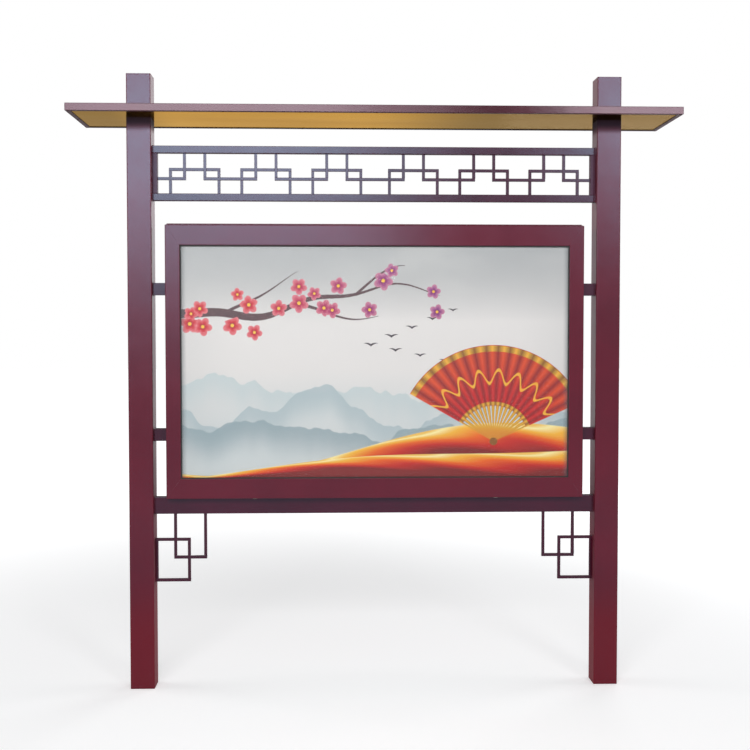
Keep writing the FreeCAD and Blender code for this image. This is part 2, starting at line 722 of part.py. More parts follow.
def eye_bore(centre):
    half = X_AXIS * EYE_WIDTH
    return rod(centre.sub(half), centre.add(half), STUD + RUN_FIT)


def strut(side, name):
    on_box, on_door = strut_line()
    shift = X_AXIS * (side * STRUT_X)
    base = on_box.add(shift)
    tip = on_door.add(shift)
    along = tip.sub(base).normalize()

    def at(distance):
        return base.add(V(along) * distance)

    low, high = STRUT_TUBE_RUN
    bore = STRUT_TUBE - STRUT_TUBE_WALL
    neck = rod(at(0), at(low + STRUT_BASE), STRUT_ROD)
    tube = fused([eye_at(base), neck, rod(at(low), at(high), STRUT_TUBE)])
    guide = high - STRUT_GUIDE
    tube = tube.cut(rod(at(low + STRUT_BASE), at(guide), bore))
    tube = tube.cut(rod(at(guide - OVERCUT), at(high + OVERCUT), STRUT_ROD + RUN_FIT))
    add(name + "_strut_tube", [tube.cut(eye_bore(base)).Solids[0]])
    length = tip.sub(base).Length
    shaft = rod(at(STRUT_PISTON_AT), at(length - STUD), STRUT_ROD)
    piston = rod(at(STRUT_PISTON_AT), at(STRUT_PISTON_AT + STRUT_PISTON), bore - RUN_FIT)
    add(name + "_strut_rod", [fused([shaft, piston, eye_at(tip)]).cut(eye_bore(tip)).Solids[0]])


def strut_brackets():
    on_box, on_door = strut_line()
    box_side = []
    door_side = []
    wall = BOX_WIDTH / 2 - BOX_SHEET
    outer = BOX_WIDTH / 2 - BOX_FLANGE - DOOR_BRACKET_SETBACK
    eye_inner, eye_outer = inset(around(STRUT_X, EYE_WIDTH), -SOFT_GAP)
    for side in SIDES:
        def on(x, point):
            return V(side * x, point.y, point.z)
        across = mirrored(side, wall - BRACKET_SHEET, wall)
        plate = block(across, around(on_box.y, BOX_BRACKET[0]), around(on_box.z, BOX_BRACKET[1]))
        shoulder = rod(on(eye_outer, on_box), on(wall, on_box), STUD_SHOULDER)
        stud = rod(on(eye_inner - STUD_WASHER[1], on_box), on(wall, on_box), STUD)
        washer = rod(on(eye_inner - STUD_WASHER[1], on_box), on(eye_inner, on_box), STUD_WASHER[0])
        box_side.append(fused([plate, shoulder, stud, washer]))
        across = mirrored(side, outer - DOOR_BRACKET[0], outer)
        base = block(across, (DOOR_BACK, DOOR_BACK + BRACKET_SHEET), around(on_door.z, DOOR_BRACKET[1]))
        across = mirrored(side, outer - BRACKET_SHEET, outer)
        reach = (DOOR_BACK, on_door.y + DOOR_BRACKET_TAB[0])
        tab = block(across, reach, around(on_door.z, DOOR_BRACKET_TAB[1]))
        pivot = rod(on(eye_outer, on_door), on(outer, on_door), STUD)
        door_side.append(fused([base, tab, pivot]))
    add("strut_box_brackets", box_side)
    add("strut_door_brackets", door_side)


def cam_outline(side):
    """Cam in plan about the lock axis at rest: an arm along X with a round hook at its end."""
    arm = block(mirrored(side, 0, sum(CAM_REACH) / 2), around(0, CAM_ARM), (0, CAM_SHEET))
    hub = rod(V(0, 0, 0), V(0, 0, CAM_SHEET), CAM_HUB)
    ring = Part.makeCylinder(CAM_REACH[1], CAM_SHEET, V(0, 0, 0), Z_AXIS, CAM_HOOK_DEG + CAM_HEEL_DEG)
    ring = ring.cut(rod(V(0, 0, -OVERCUT), V(0, 0, CAM_SHEET + OVERCUT), CAM_REACH[0]))
    ring.rotate(V(0, 0, 0), Z_AXIS, -CAM_HEEL_DEG)
    if side < 0:
        ring = ring.mirror(V(0, 0, 0), X_AXIS)
    return fused([arm, hub, ring])


def locks():
    low = BOX_LOW
    floor = low + DOOR_WALL
    top = low + BARREL_RUN
    barrels = []
    nuts = []
    keepers = []
    holes = []
    windows = []
    for side, name in zip(SIDES, ("left", "right")):
        centre = V(side * LOCK_X, LOCK_Y, 0)

        def at(z):
            return centre.add(Z_AXIS * z)
        face = low - BARREL_HEAD[1]
        sleeve = fused([rod(at(face), at(low), BARREL_HEAD[0]), rod(at(low), at(top), BARREL)])
        barrels.append(sleeve.cut(rod(at(face - OVERCUT), at(top + OVERCUT), PLUG + RUN_FIT)))
        hole = rod(at(low - OVERCUT), at(floor + LOCK_NUT_HEIGHT + OVERCUT), BARREL + HOLE_FIT)
        nuts.append(hexagon(at(floor), Z_AXIS, 2 * LOCK_NUT, LOCK_NUT_HEIGHT).cut(hole))
        holes.append(hole)
        cam_low = top + SOFT_GAP
        cam_z = (cam_low, cam_low + CAM_SHEET)
        plug = rod(at(low - PLUG_PROUD), at(cam_low), PLUG)
        square = block(around(centre.x, PLUG_TENON), around(centre.y, PLUG_TENON), cam_z)
        key_hole = hexagon(at(face), Z_AXIS, KEY_SOCKET[0], KEY_SOCKET[1])
        add(name + "_lock_plug", [fused([plug, square]).cut(key_hole)])
        cam = cam_outline(side).translate(at(cam_low)).cut(square)
        screw = hexagon(at(cam_z[1]), Z_AXIS, CAM_SCREW[0], CAM_SCREW[1])
        add(name + "_lock_cam", [cam.Solids[0], screw])
        across = mirrored(side, LOCK_X - CAM_ARM, LOCK_X + CAM_REACH[1] + CAM_WINDOW_GAP)
        through = inset((DOOR_BACK - DOOR_WALL, DOOR_BACK), -OVERCUT)
        windows.append(block(across, through, inset(cam_z, -CAM_WINDOW_GAP)))
        bearing = math.radians(90 + side * KEEPER_DEG)
        away = V(KEEPER_RADIUS * math.cos(bearing), KEEPER_RADIUS * math.sin(bearing), low + BOX_SHEET)
        foot = centre.add(away)
        keepers.append(rod(foot, foot.add(Z_AXIS * KEEPER_RISE), KEEPER))
    add("lock_barrels", barrels)
    add("lock_nuts", nuts)
    add("lock_keepers", keepers)
    cut_nodes(("door_bottom_rail",), holes + windows)


def build():
    posts()
    canopy()
    canopy_bolts()
    transom()
    lower_rail_and_corners()
    light_box()
    stubs()
    wire_entry()
    lighting()
    door_frame()
    glazing()
    door_seal()
    hinge()
    strut(-1, "left")
    strut(1, "right")
    strut_brackets()
    locks()


build()
os.makedirs("parts", exist_ok=True)
for node, solids in NODES.items():
    shape = solids[0] if len(solids) == 1 else Part.makeCompound(solids)
    shape.exportStep("parts/" + node + ".step")
    print(node, len(solids), round(sum(solid.Volume for solid in solids)))
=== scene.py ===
"""Looks of a light box billboard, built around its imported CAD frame. Lengths are in metres."""
import json
import math
import random

import bmesh
import bpy
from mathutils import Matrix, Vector

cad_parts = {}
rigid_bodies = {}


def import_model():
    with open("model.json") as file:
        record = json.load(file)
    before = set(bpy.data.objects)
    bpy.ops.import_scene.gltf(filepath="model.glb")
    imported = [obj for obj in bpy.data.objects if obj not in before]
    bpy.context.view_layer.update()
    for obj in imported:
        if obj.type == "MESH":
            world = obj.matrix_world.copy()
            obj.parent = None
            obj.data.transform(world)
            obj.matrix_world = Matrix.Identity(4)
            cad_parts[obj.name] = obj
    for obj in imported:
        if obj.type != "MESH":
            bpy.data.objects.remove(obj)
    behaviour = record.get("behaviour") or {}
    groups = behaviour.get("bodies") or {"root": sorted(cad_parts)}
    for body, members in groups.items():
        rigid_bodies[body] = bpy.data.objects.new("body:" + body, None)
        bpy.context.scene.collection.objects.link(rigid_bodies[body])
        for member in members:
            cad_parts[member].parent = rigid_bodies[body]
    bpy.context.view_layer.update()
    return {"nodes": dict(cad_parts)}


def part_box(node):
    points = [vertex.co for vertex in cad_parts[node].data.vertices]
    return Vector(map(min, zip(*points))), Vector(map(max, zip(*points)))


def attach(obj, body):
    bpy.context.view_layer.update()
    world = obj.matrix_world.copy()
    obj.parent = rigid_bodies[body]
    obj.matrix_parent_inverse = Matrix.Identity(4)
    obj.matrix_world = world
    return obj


for leftover in list(bpy.data.objects):
    bpy.data.objects.remove(leftover)
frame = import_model()
random.seed(7)

# Camera of the photograph
CAMERA_PLACE = Vector((-0.1760, -4.9205, 1.4937))
CAMERA_AIM = Vector((0.0356, 0.9986, -0.0384))
CAMERA_LENS = 56.42
CAMERA_SENSOR = 36.0

# Places read from the frame
POST_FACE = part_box("right_post")[0].x
CANOPY_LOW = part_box("canopy_skin")[0].z
OPENING_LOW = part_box("door_bottom_rail")[1].z
OPENING_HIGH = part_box("door_top_rail")[0].z
OPENING_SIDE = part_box("door_right_stile")[0].x
POSTER_MIDDLE = (OPENING_LOW + OPENING_HIGH) / 2
POSTER_HALF = (OPENING_HIGH - OPENING_LOW) / 2

# Directions
SIDES = (-1, 1)
UP = (0, 0, 1)
DOWN = (0, 0, -1)
FORWARD = (0, -1, 0)
REARWARD = (0, 1, 0)


def srgb(red, green, blue):
    """Screen colour from 0 to 255, as the linear colour that a shader takes, by the sRGB curve."""
    linear = []
    for level in (red, green, blue):
        share = level / 255
        linear.append(share / 12.92 if share <= 0.04045 else ((share + 0.055) / 1.055) ** 2.4)
    return (*linear, 1.0)


class Field:
    """A number, vector or colour that varies over a surface: an output of a material's nodes."""

    def __init__(self, graph, socket):
        self.graph = graph
        self.socket = socket

    def __add__(self, other):
        return self.graph.math("ADD", self, other)

    __radd__ = __add__

    def __sub__(self, other):
        return self.graph.math("SUBTRACT", self, other)

    def __rsub__(self, other):
        return self.graph.math("SUBTRACT", other, self)

    def __mul__(self, other):
        return self.graph.math("MULTIPLY", self, other)

    __rmul__ = __mul__

    def __truediv__(self, other):
        return self.graph.math("DIVIDE", self, other)

    def __abs__(self):
        return self.graph.math("ABSOLUTE", self)


# Edges in shading: samples of the rounded normal, and its cosine to the face where wear begins and is full
EDGE_SAMPLES = 4
WEAR_RANGE = (0.985, 0.88)


class Graph:
    """The nodes of one material, written as arithmetic on fields."""

    def __init__(self, name):
        self.material = bpy.data.materials.new("look_" + name)
        self.material.use_nodes = True
        self.tree = self.material.node_tree
        self.tree.nodes.clear()
        self.output = self.make("ShaderNodeOutputMaterial")
        coordinates = self.make("ShaderNodeTexCoord")
        self.place = Field(self, coordinates.outputs["Object"])
        self.facing = Field(self, coordinates.outputs["Normal"])

    def make(self, kind, **settings):
        node = self.tree.nodes.new(kind)
        for key, value in settings.items():
            setattr(node, key, value)
        return node

    def feed(self, socket, value):
        if isinstance(value, Field):
            self.tree.links.new(value.socket, socket)
        else:
            socket.default_value = value

    def math(self, operation, *values):
        node = self.make("ShaderNodeMath", operation=operation)
        for socket, value in zip(node.inputs, values):
            self.feed(socket, value)
        return Field(self, node.outputs[0])

    def split(self, vector):
        node = self.make("ShaderNodeSeparateXYZ")
        self.feed(node.inputs[0], vector)
        return [Field(self, output) for output in node.outputs]

    def join(self, x, y, z=0.0):
        node = self.make("ShaderNodeCombineXYZ")
        for socket, value in zip(node.inputs, (x, y, z)):
            self.feed(socket, value)
        return Field(self, node.outputs[0])

    def stretched(self, vector, factors):
        node = self.make("ShaderNodeVectorMath", operation="MULTIPLY")
        self.feed(node.inputs[0], vector)
        self.feed(node.inputs[1], factors)
        return Field(self, node.outputs[0])

    def step(self, value, low, high):
        """0 at low and 1 at high, smooth between; high may be the smaller number."""
        node = self.make("ShaderNodeMapRange", interpolation_type="SMOOTHSTEP")
        for key, number in (("Value", value), ("From Min", low), ("From Max", high)):
            self.feed(node.inputs[key], number)
        return Field(self, node.outputs["Result"])

    def within(self, value, low, high, soft):
        """1 between low and high, fading out over soft at both."""
        return self.step(value, low - soft, low) * self.step(value, high + soft, high)

    def noise(self, vector, scale, detail):
        node = self.make("ShaderNodeTexNoise")
        for key, number in (("Vector", vector), ("Scale", scale), ("Detail", detail)):
            self.feed(node.inputs[key], number)
        return Field(self, node.outputs["Fac"])

    def line_noise(self, along, scale, detail):
        """Noise along one number."""
        node = self.make("ShaderNodeTexNoise", noise_dimensions="1D")
        for key, number in (("W", along), ("Scale", scale), ("Detail", detail)):
            self.feed(node.inputs[key], number)
        return Field(self, node.outputs["Fac"])

    def cells(self, vector, scale, randomness=1.0, dimensions="3D"):
        """Voronoi cells: a random colour and the middle of the cell that a point lies in."""
        node = self.make("ShaderNodeTexVoronoi", voronoi_dimensions=dimensions)
        for key, number in (("Vector", vector), ("Scale", scale), ("Randomness", randomness)):
            self.feed(node.inputs[key], number)
        return Field(self, node.outputs["Color"]), Field(self, node.outputs["Position"])

    def mix(self, share, first, second):
        """Colour that goes from first to second as share goes from 0 to 1."""
        node = self.make("ShaderNodeMix", data_type="RGBA")
        # The node also has number and vector sockets: 6 and 7 take the colours, and output 2 gives one
        for index, value in ((0, share), (6, first), (7, second)):
            self.feed(node.inputs[index], value)
        return Field(self, node.outputs[2])

    def ramp(self, share, stops):
        """Colour along a row of (place, colour) stops."""
        node = self.make("ShaderNodeValToRGB")
        elements = node.color_ramp.elements
        while len(elements) < len(stops):
            elements.new(0.5)
        for element, (place, colour) in zip(elements, stops):
            element.position = place
            element.color = colour
        self.feed(node.inputs[0], share)
        return Field(self, node.outputs[0])

    def soft_edges(self, radius):
        """Normal as if the edges were rounded."""
        node = self.make("ShaderNodeBevel", samples=EDGE_SAMPLES)
        node.inputs["Radius"].default_value = radius
        return Field(self, node.outputs[0])

    def edge_wear(self, radius):
        """1 near sharp edges and 0 on flat faces."""
        geometry = self.make("ShaderNodeNewGeometry")
        node = self.make("ShaderNodeVectorMath", operation="DOT_PRODUCT")
        self.feed(node.inputs[0], self.soft_edges(radius))
        self.tree.links.new(geometry.outputs["True Normal"], node.inputs[1])
        return self.step(Field(self, node.outputs["Value"]), *WEAR_RANGE)

    def bump(self, height, distance, normal=None):
        node = self.make("ShaderNodeBump")
        node.inputs["Strength"].default_value = 1.0
        node.inputs["Distance"].default_value = distance
        self.feed(node.inputs["Height"], height)
        if normal is not None:
            self.feed(node.inputs["Normal"], normal)
        return Field(self, node.outputs[0])

    def surface(self, colour, roughness, normal=None, **sockets):
        """Principled shader on the output; sockets are named by words joined with _."""
        node = self.make("ShaderNodeBsdfPrincipled")
        self.feed(node.inputs["Base Color"], colour)
        self.feed(node.inputs["Roughness"], roughness)
        if normal is not None:
            self.feed(node.inputs["Normal"], normal)
        for key, value in sockets.items():
            self.feed(node.inputs[key.replace("_", " ")], value)
        self.tree.links.new(node.outputs[0], self.output.inputs["Surface"])
        return self.material


# Painted steel: pairs of tones, the second darkened as painted shade, what lies on the paint, painted light,
# and the tints of its shine
MAROON = (srgb(91, 7, 24), srgb(101, 9, 28))
# Darker copy of the maroon, as painted shade, for the canopy and the pieces set back in the shade of the
# canopy and the door
SHADED_MAROON = (srgb(62, 7, 24), srgb(73, 10, 31))
ROAD_DUST = srgb(172, 160, 150)
MUD_SPLASH = srgb(112, 84, 74)
WORN_EDGE = srgb(150, 96, 104)
WHITE_LINING = srgb(232, 234, 234)
# Painted shade on faces that look down
UNDERSIDE_SHADE = srgb(34, 8, 20)
# Painted shade on the posts right under the canopy
CANOPY_SHADE_TONE = srgb(12, 8, 16)
# Redder paint low on the posts, standing in for the darker reflection near the ground
DIM_REFLECTION_RED = srgb(112, 2, 10)
SKY_GLOSS = (0.5, 0.72, 0.97, 1.0)
PALE_GLOSS = (0.82, 0.68, 0.77, 1.0)

# Heights at which marks and painted light on the paint begin and are full
SPLASH_RANGE = (0.2, 0.0)
DIM_REFLECTION_RANGE = (0.5, 0.2)
FILM_RANGE = (1.2, 0.6)
CANOPY_SHADE_RANGE = (CANOPY_LOW - 0.06, CANOPY_LOW - 0.015)
CANOPY_SHADE_END = (CANOPY_LOW + 0.03, CANOPY_LOW + 0.02)

# Parts of the facing at which a face begins to count as level, hanging or upright at the side, and is one
FACING_UP = (0.5, 0.95)
FACING_DOWN = (-0.5, -0.9)
FACING_SIDE = (0.5, 0.9)

# Most that a mark or painted light covers
DUST_EVEN = 0.06
DUST_DRIFT = 0.13
DUST_GRIT = 0.06
SPLASH_DRIFT = 0.12
SPLASH_GRIT = 0.05
WEAR_SHARE = 0.5
DIM_REFLECTION_SHARE = 0.7
CANOPY_SHADE_SHARE = 0.85
UNDERSIDE_SHADE_SHARE = 0.7

# Roughness of three grades of paint, and what is added to it
GLOSS = 0.17
HIGH_GLOSS = 0.11
SATIN = 0.35
SMEAR_ROUGH = 0.08
DIRT_AND_SHADE_ROUGH = 0.4
LEVEL_ROUGH = 0.5
FILM_ROUGH = 0.2
FILM_ROUGH_LOW = 0.28
PAINT_SHINE = 0.375

# Noise on the paint, as scale and detail, and the levels of it between which a mark comes up
TONE_NOISE = (3.0, 4.0)
TONE_SPREAD = (0.3, 0.7)
DRIFT_NOISE = (5.0, 5.0)
DUST_SPREAD = (0.35, 0.7)
SPLASH_SPREAD = (0.38, 0.65)
GRIT_NOISE = (160.0, 2.0)
GRIT_SPREAD = (0.45, 0.75)
RUB_NOISE = (35.0, 4.0)
RUB_SPREAD = (0.4, 0.65)
SMEAR_NOISE = (12.0, 3.0)
PEEL_NOISE = (420.0, 1.0)
WAVE_NOISE = (9.0, 1.0)

# Relief of the paint, and the white lining behind the front flange of the box
PEEL_DEPTH = 0.00006
WAVE_DEPTH = 0.0005
PAINT_EDGE = 0.0012
WEAR_EDGE = 0.0016
LINING_FRONT = -0.0375
LINING_FADE = 0.001


def painted_colour(g, tones, z, upward):
    """Paint between two tones, with dust on ledges, splashes at the ground and worn edges."""
    tone = g.noise(g.place, *TONE_NOISE)
    colour = g.mix(g.step(tone, *TONE_SPREAD), *tones)
    drift = g.noise(g.place, *DRIFT_NOISE)
    grit = g.step(g.noise(g.place, *GRIT_NOISE), *GRIT_SPREAD)
    settled = DUST_EVEN + DUST_DRIFT * g.step(drift, *DUST_SPREAD) + DUST_GRIT * grit
    dust = g.step(upward, *FACING_UP) * settled
    colour = g.mix(dust, colour, ROAD_DUST)
    thrown = SPLASH_DRIFT * g.step(drift, *SPLASH_SPREAD) + SPLASH_GRIT * grit
    splash = g.step(z, *SPLASH_RANGE) * thrown
    colour = g.mix(splash, colour, MUD_SPLASH)
    rubbed = g.step(g.noise(g.place, *RUB_NOISE), *RUB_SPREAD)
    wear = g.edge_wear(WEAR_EDGE) * rubbed * WEAR_SHARE
    return g.mix(wear, colour, WORN_EDGE), dust + splash


def paint_relief(g):
    """Orange peel of the paint over slightly wavy metal, with softened edges."""
    peel = g.noise(g.place, *PEEL_NOISE)
    waves = g.noise(g.place, *WAVE_NOISE)
    return g.bump(peel, PEEL_DEPTH, g.bump(waves, WAVE_DEPTH, g.soft_edges(PAINT_EDGE)))


def inside_box(g, x, y, z):
    """1 on the faces that look into the light box."""
    low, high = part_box("back_panel")
    inside = g.step(abs(x), high.x + LINING_FADE, high.x)
    inside = inside * g.step(y, LINING_FRONT, LINING_FRONT + LINING_FADE)
    inside = inside * g.step(y, high.y - 0.5 * LINING_FADE, high.y - 1.5 * LINING_FADE)
    return inside * g.within(z, low.z, high.z, LINING_FADE)


def post_painted_light(g, colour, z):
    """Painted light on the posts: redder near the ground, standing in for its darker reflection, and painted
    shade right under the canopy; also gives the share of that shade.
    """
    # A redder foot standing in for darker reflection, then painted shade under the canopy
    colour = g.mix(g.step(z, *DIM_REFLECTION_RANGE) * DIM_REFLECTION_SHARE, colour, DIM_REFLECTION_RED)
    under_canopy_shade = g.step(z, *CANOPY_SHADE_RANGE) * g.step(z, *CANOPY_SHADE_END)
    return g.mix(under_canopy_shade * CANOPY_SHADE_SHARE, colour, CANOPY_SHADE_TONE), under_canopy_shade


def glossy_paint(name, tones, lined=False, posts=False, shine=SKY_GLOSS, polish=GLOSS):
    """Paint with a tinted shine, dull on top, underneath and low on the sides, and painted shade underneath.

    Lined pieces are white inside the box, and posts have painted shade right under the canopy and a redder
    foot standing in for darker reflection.
    """
    g = Graph(name)
    x, y, z = g.split(g.place)
    sideways, _, upward = g.split(g.facing)
    colour, dirt_and_shade = painted_colour(g, tones, z, upward)
    if posts:
        # Painted light on the posts; its shade also adds to the roughness
        colour, under_canopy_shade = post_painted_light(g, colour, z)
        dirt_and_shade = dirt_and_shade + under_canopy_shade
    level = g.step(upward, *FACING_UP)
    downward = g.step(upward, *FACING_DOWN)
    # Painted shade darkens the faces that look down
    colour = g.mix(downward * UNDERSIDE_SHADE_SHARE, colour, UNDERSIDE_SHADE)
    film = g.step(abs(sideways), *FACING_SIDE) * (FILM_ROUGH + FILM_ROUGH_LOW * g.step(z, *FILM_RANGE))
    roughness = polish + SMEAR_ROUGH * g.noise(g.place, *SMEAR_NOISE) + DIRT_AND_SHADE_ROUGH * dirt_and_shade
    roughness = roughness + LEVEL_ROUGH * (level + downward) + film
    if lined:
        colour = g.mix(inside_box(g, x, y, z), colour, WHITE_LINING)
    return g.surface(colour, roughness, paint_relief(g), Specular_IOR_Level=PAINT_SHINE, Specular_Tint=shine)


# Gold-toned underside of the canopy, with a painted darker reflection over its right half and at its left end
GOLD_TONES = ((0.3, srgb(190, 148, 62)), (0.5, srgb(210, 170, 82)), (0.7, srgb(222, 186, 98)))
GOLD_EDGE = (0.64, 0.45, 0.225, 1.0)
GOLD_WAVES = (0.9, 5.0, 5.0)
GOLD_WAVE_DEPTH = 0.0008
GOLD_ROLLING = (4.0, 700.0, 700.0)
GOLD_LINE = srgb(160, 116, 44)
GOLD_LINE_SPREAD = (0.55, 0.8)
GOLD_LINE_SHARE = 0.25
GOLD_LINE_DEPTH = 0.00002
# Painted darker reflection over the right half and the left end of the soffit
GOLD_DARK_REFLECTION = srgb(40, 22, 10)
GOLD_DARK_REFLECTION_RIGHT = (-0.1, 0.5)
GOLD_DARK_REFLECTION_LEFT = (-0.8, -1.1)
GOLD_DARK_REFLECTION_LEFT_SHARE = 0.9


def gold_sheet():
    """Gold-toned sheet with long faint waves and fine rolling lines along its length."""
    g = Graph("gold_sheet")
    waves = g.noise(g.stretched(g.place, GOLD_WAVES), 1.0, 2.0)
    colour = g.ramp(waves, GOLD_TONES)
    x = g.split(g.place)[0]
    # Painted darker reflection towards the right and the left end
    painted_dark_reflection = g.step(x, *GOLD_DARK_REFLECTION_RIGHT) + GOLD_DARK_REFLECTION_LEFT_SHARE * g.step(x, *GOLD_DARK_REFLECTION_LEFT)
    colour = g.mix(painted_dark_reflection, colour, GOLD_DARK_REFLECTION)
    lines = g.noise(g.stretched(g.place, GOLD_ROLLING), 1.0, 2.0)
    colour = g.mix(g.step(lines, *GOLD_LINE_SPREAD) * GOLD_LINE_SHARE, colour, GOLD_LINE)
    roughness = 0.1 + 0.1 * lines
    relief = g.bump(lines, GOLD_LINE_DEPTH, g.bump(waves, GOLD_WAVE_DEPTH))
    return g.surface(colour, roughness, relief, Metallic=0.95, Specular_Tint=GOLD_EDGE)


# Bare metals, plastics and glass: pairs of tones, glows, and the rounding of small edges
ZINC = (srgb(148, 152, 156), srgb(198, 200, 202))
ALUMINIUM = (srgb(176, 179, 182), srgb(214, 216, 218))
RESIN = (srgb(228, 232, 236), srgb(248, 249, 250))
RESIN_GLOW = srgb(255, 252, 240)
OPAL = (srgb(224, 227, 229), srgb(238, 239, 239))
# Painted glow of the diffuser, which is no lamp
OPAL_PAINTED_GLOW = srgb(250, 250, 246)
GLASS_CLEAR = (0.982, 0.988, 0.982, 1.0)
GLASS_MIRROR = (0.92, 0.95, 0.96, 1.0)
MIRROR_LEAST = 0.0015
MIRROR_GAIN = 0.9
MIRROR_POWER = 5.0
SMALL_EDGE = 0.0006


def zinc_steel():
    """Zinc plate with a faint spangle."""
    g = Graph("zinc_steel")
    spangle = g.split(g.cells(g.place, 130.0)[0])[0]
    blur = g.noise(g.place, 40.0, 3.0)
    colour = g.mix(0.6 * spangle + 0.4 * blur, *ZINC)
    return g.surface(colour, 0.28 + 0.2 * blur, g.bump(blur, 0.0001, g.soft_edges(SMALL_EDGE)), Metallic=0.95)


def bare_aluminium():
    """Drawn aluminium with fine lines along Z."""
    g = Graph("bare_aluminium")
    lines = g.noise(g.stretched(g.place, (900.0, 900.0, 6.0)), 1.0, 2.0)
    colour = g.mix(lines, *ALUMINIUM)
    relief = g.bump(lines, 0.00003, g.soft_edges(SMALL_EDGE))
    return g.surface(colour, 0.25 + 0.2 * lines, relief, Metallic=1.0)


def moulded(name, dark, light, roughness, grain):
    """Plastic, rubber or enamel: a close tone range and a fine grain."""
    g = Graph(name)
    mottle = g.noise(g.place, 25.0, 4.0)
    fine = g.noise(g.place, grain, 2.0)
    colour = g.mix(0.7 * mottle + 0.3 * fine, srgb(*dark), srgb(*light))
    relief = g.bump(fine, 0.00005, g.soft_edges(SMALL_EDGE))
    return g.surface(colour, roughness + 0.15 * (fine - 0.5), relief)


def bright_metal(name, dark, light, roughness):
    """Plated or ground metal with fine turning lines across Z."""
    g = Graph(name)
    lines = g.noise(g.stretched(g.place, (20.0, 20.0, 2200.0)), 1.0, 1.0)
    smears = g.noise(g.place, 60.0, 3.0)
    colour = g.mix(smears, srgb(*dark), srgb(*light))
    return g.surface(colour, roughness + 0.08 * smears, g.bump(lines, 0.00001), Metallic=1.0)


def clear_glass():
    """Coated glass: clear from the front, a mirror at a slant, with a trace of dust."""
    g = Graph("clear_glass")
    clear = g.make("ShaderNodeBsdfTransparent")
    clear.inputs["Color"].default_value = GLASS_CLEAR
    gloss = g.make("ShaderNodeBsdfPrincipled")
    gloss.inputs["Metallic"].default_value = 1.0
    gloss.inputs["Base Color"].default_value = GLASS_MIRROR
    dust = g.noise(g.place, 18.0, 5.0)
    g.feed(gloss.inputs["Roughness"], 0.03 + 0.05 * g.step(dust, 0.45, 0.8))
    slant = g.make("ShaderNodeLayerWeight")
    slant.inputs["Blend"].default_value = 0.5
    mirrored = g.math("POWER", Field(g, slant.outputs["Facing"]), MIRROR_POWER) * MIRROR_GAIN + MIRROR_LEAST
    blend = g.make("ShaderNodeMixShader")
    g.feed(blend.inputs[0], mirrored)
    g.tree.links.new(clear.outputs[0], blend.inputs[1])
    g.tree.links.new(gloss.outputs[0], blend.inputs[2])
    g.tree.links.new(blend.outputs[0], g.output.inputs["Surface"])
    return g.material


def lit_resin():
    """Clear resin over a lamp chip, glowing faintly."""
    g = Graph("lit_resin")
    haze = g.noise(g.place, 300.0, 2.0)
    colour = g.mix(haze, *RESIN)
    return g.surface(colour, 0.12 + 0.1 * haze, g.bump(haze, 0.00003), Coat_Weight=0.5,
                     Emission_Color=RESIN_GLOW, Emission_Strength=0.6)


def opal_sheet():
    """Milky diffuser with a fine frosted grain and a faint painted glow."""
    g = Graph("opal_plastic")
    frost = g.noise(g.place, 900.0, 1.0)
    cloud = g.noise(g.place, 2.5, 2.0)
    colour = g.mix(cloud, *OPAL)
    return g.surface(colour, 0.38 + 0.15 * frost, g.bump(frost, 0.00002), Subsurface_Weight=0.15,
                     Emission_Color=OPAL_PAINTED_GLOW, Emission_Strength=0.08)


# Poster: an ink landscape with a blossom branch, a folding fan and a silk band; x and up are from its middle
# The top tone is painted shade at the top of the poster, also used towards its sides
PAPER_TOP_SHADE = srgb(178, 178, 181)
PAPER_MIDDLE = srgb(231, 225, 225)
PAPER_LOW = srgb(206, 211, 214)
PAPER_CLOUD = srgb(222, 219, 218)
PAPER_STOPS = ((0.0, PAPER_LOW), (0.45, PAPER_MIDDLE), (0.75, PAPER_MIDDLE), (1.0, PAPER_TOP_SHADE))
CLOUD_SHARE = 0.3
PAPER_SIDE_SHADE = (0.55, 0.85)
PAPER_SIDE_SHADE_SHARE = 0.22


def paper(g, x, up):
    """Pale paper with faint clouds, with painted shade towards its top and sides."""
    colour = g.ramp(g.step(up, -POSTER_HALF, POSTER_HALF), PAPER_STOPS)
    cloud = g.noise(g.stretched(g.place, (1.6, 1.0, 3.2)), 1.5, 3.0)
    colour = g.mix(g.step(cloud, 0.45, 0.75) * CLOUD_SHARE, colour, PAPER_CLOUD)
    # Painted shade towards the left and right sides
    return g.mix(g.step(abs(x), *PAPER_SIDE_SHADE) * PAPER_SIDE_SHADE_SHARE, colour, PAPER_TOP_SHADE)


# Ridges, far to near: mean height, reach above and below it, place along the noise, and tone
HILLS = (
    (-0.10, 0.20, 1.3, srgb(196, 206, 210)),
    (-0.19, 0.18, 5.9, srgb(174, 188, 195)),
    (-0.27, 0.14, 9.4, srgb(146, 163, 172)),
)
RIDGE_SCALE = 2.4
RIDGE_EDGE = 0.006
RIDGE_SHARE = 0.85
MIST_DEPTH = 0.17


def hills(g, x, up, colour):
    """Ridges that fade into mist below their crests."""
    for level, reach, seed, tone in HILLS:
        crest = level + reach * (g.line_noise(x + seed, RIDGE_SCALE, 4.0) - 0.5) * 2.0
        depth = crest - up
        shade = g.step(depth, 0.0, RIDGE_EDGE) * g.step(depth, MIST_DEPTH, 0.0) * RIDGE_SHARE
        colour = g.mix(shade, colour, tone)
    return colour


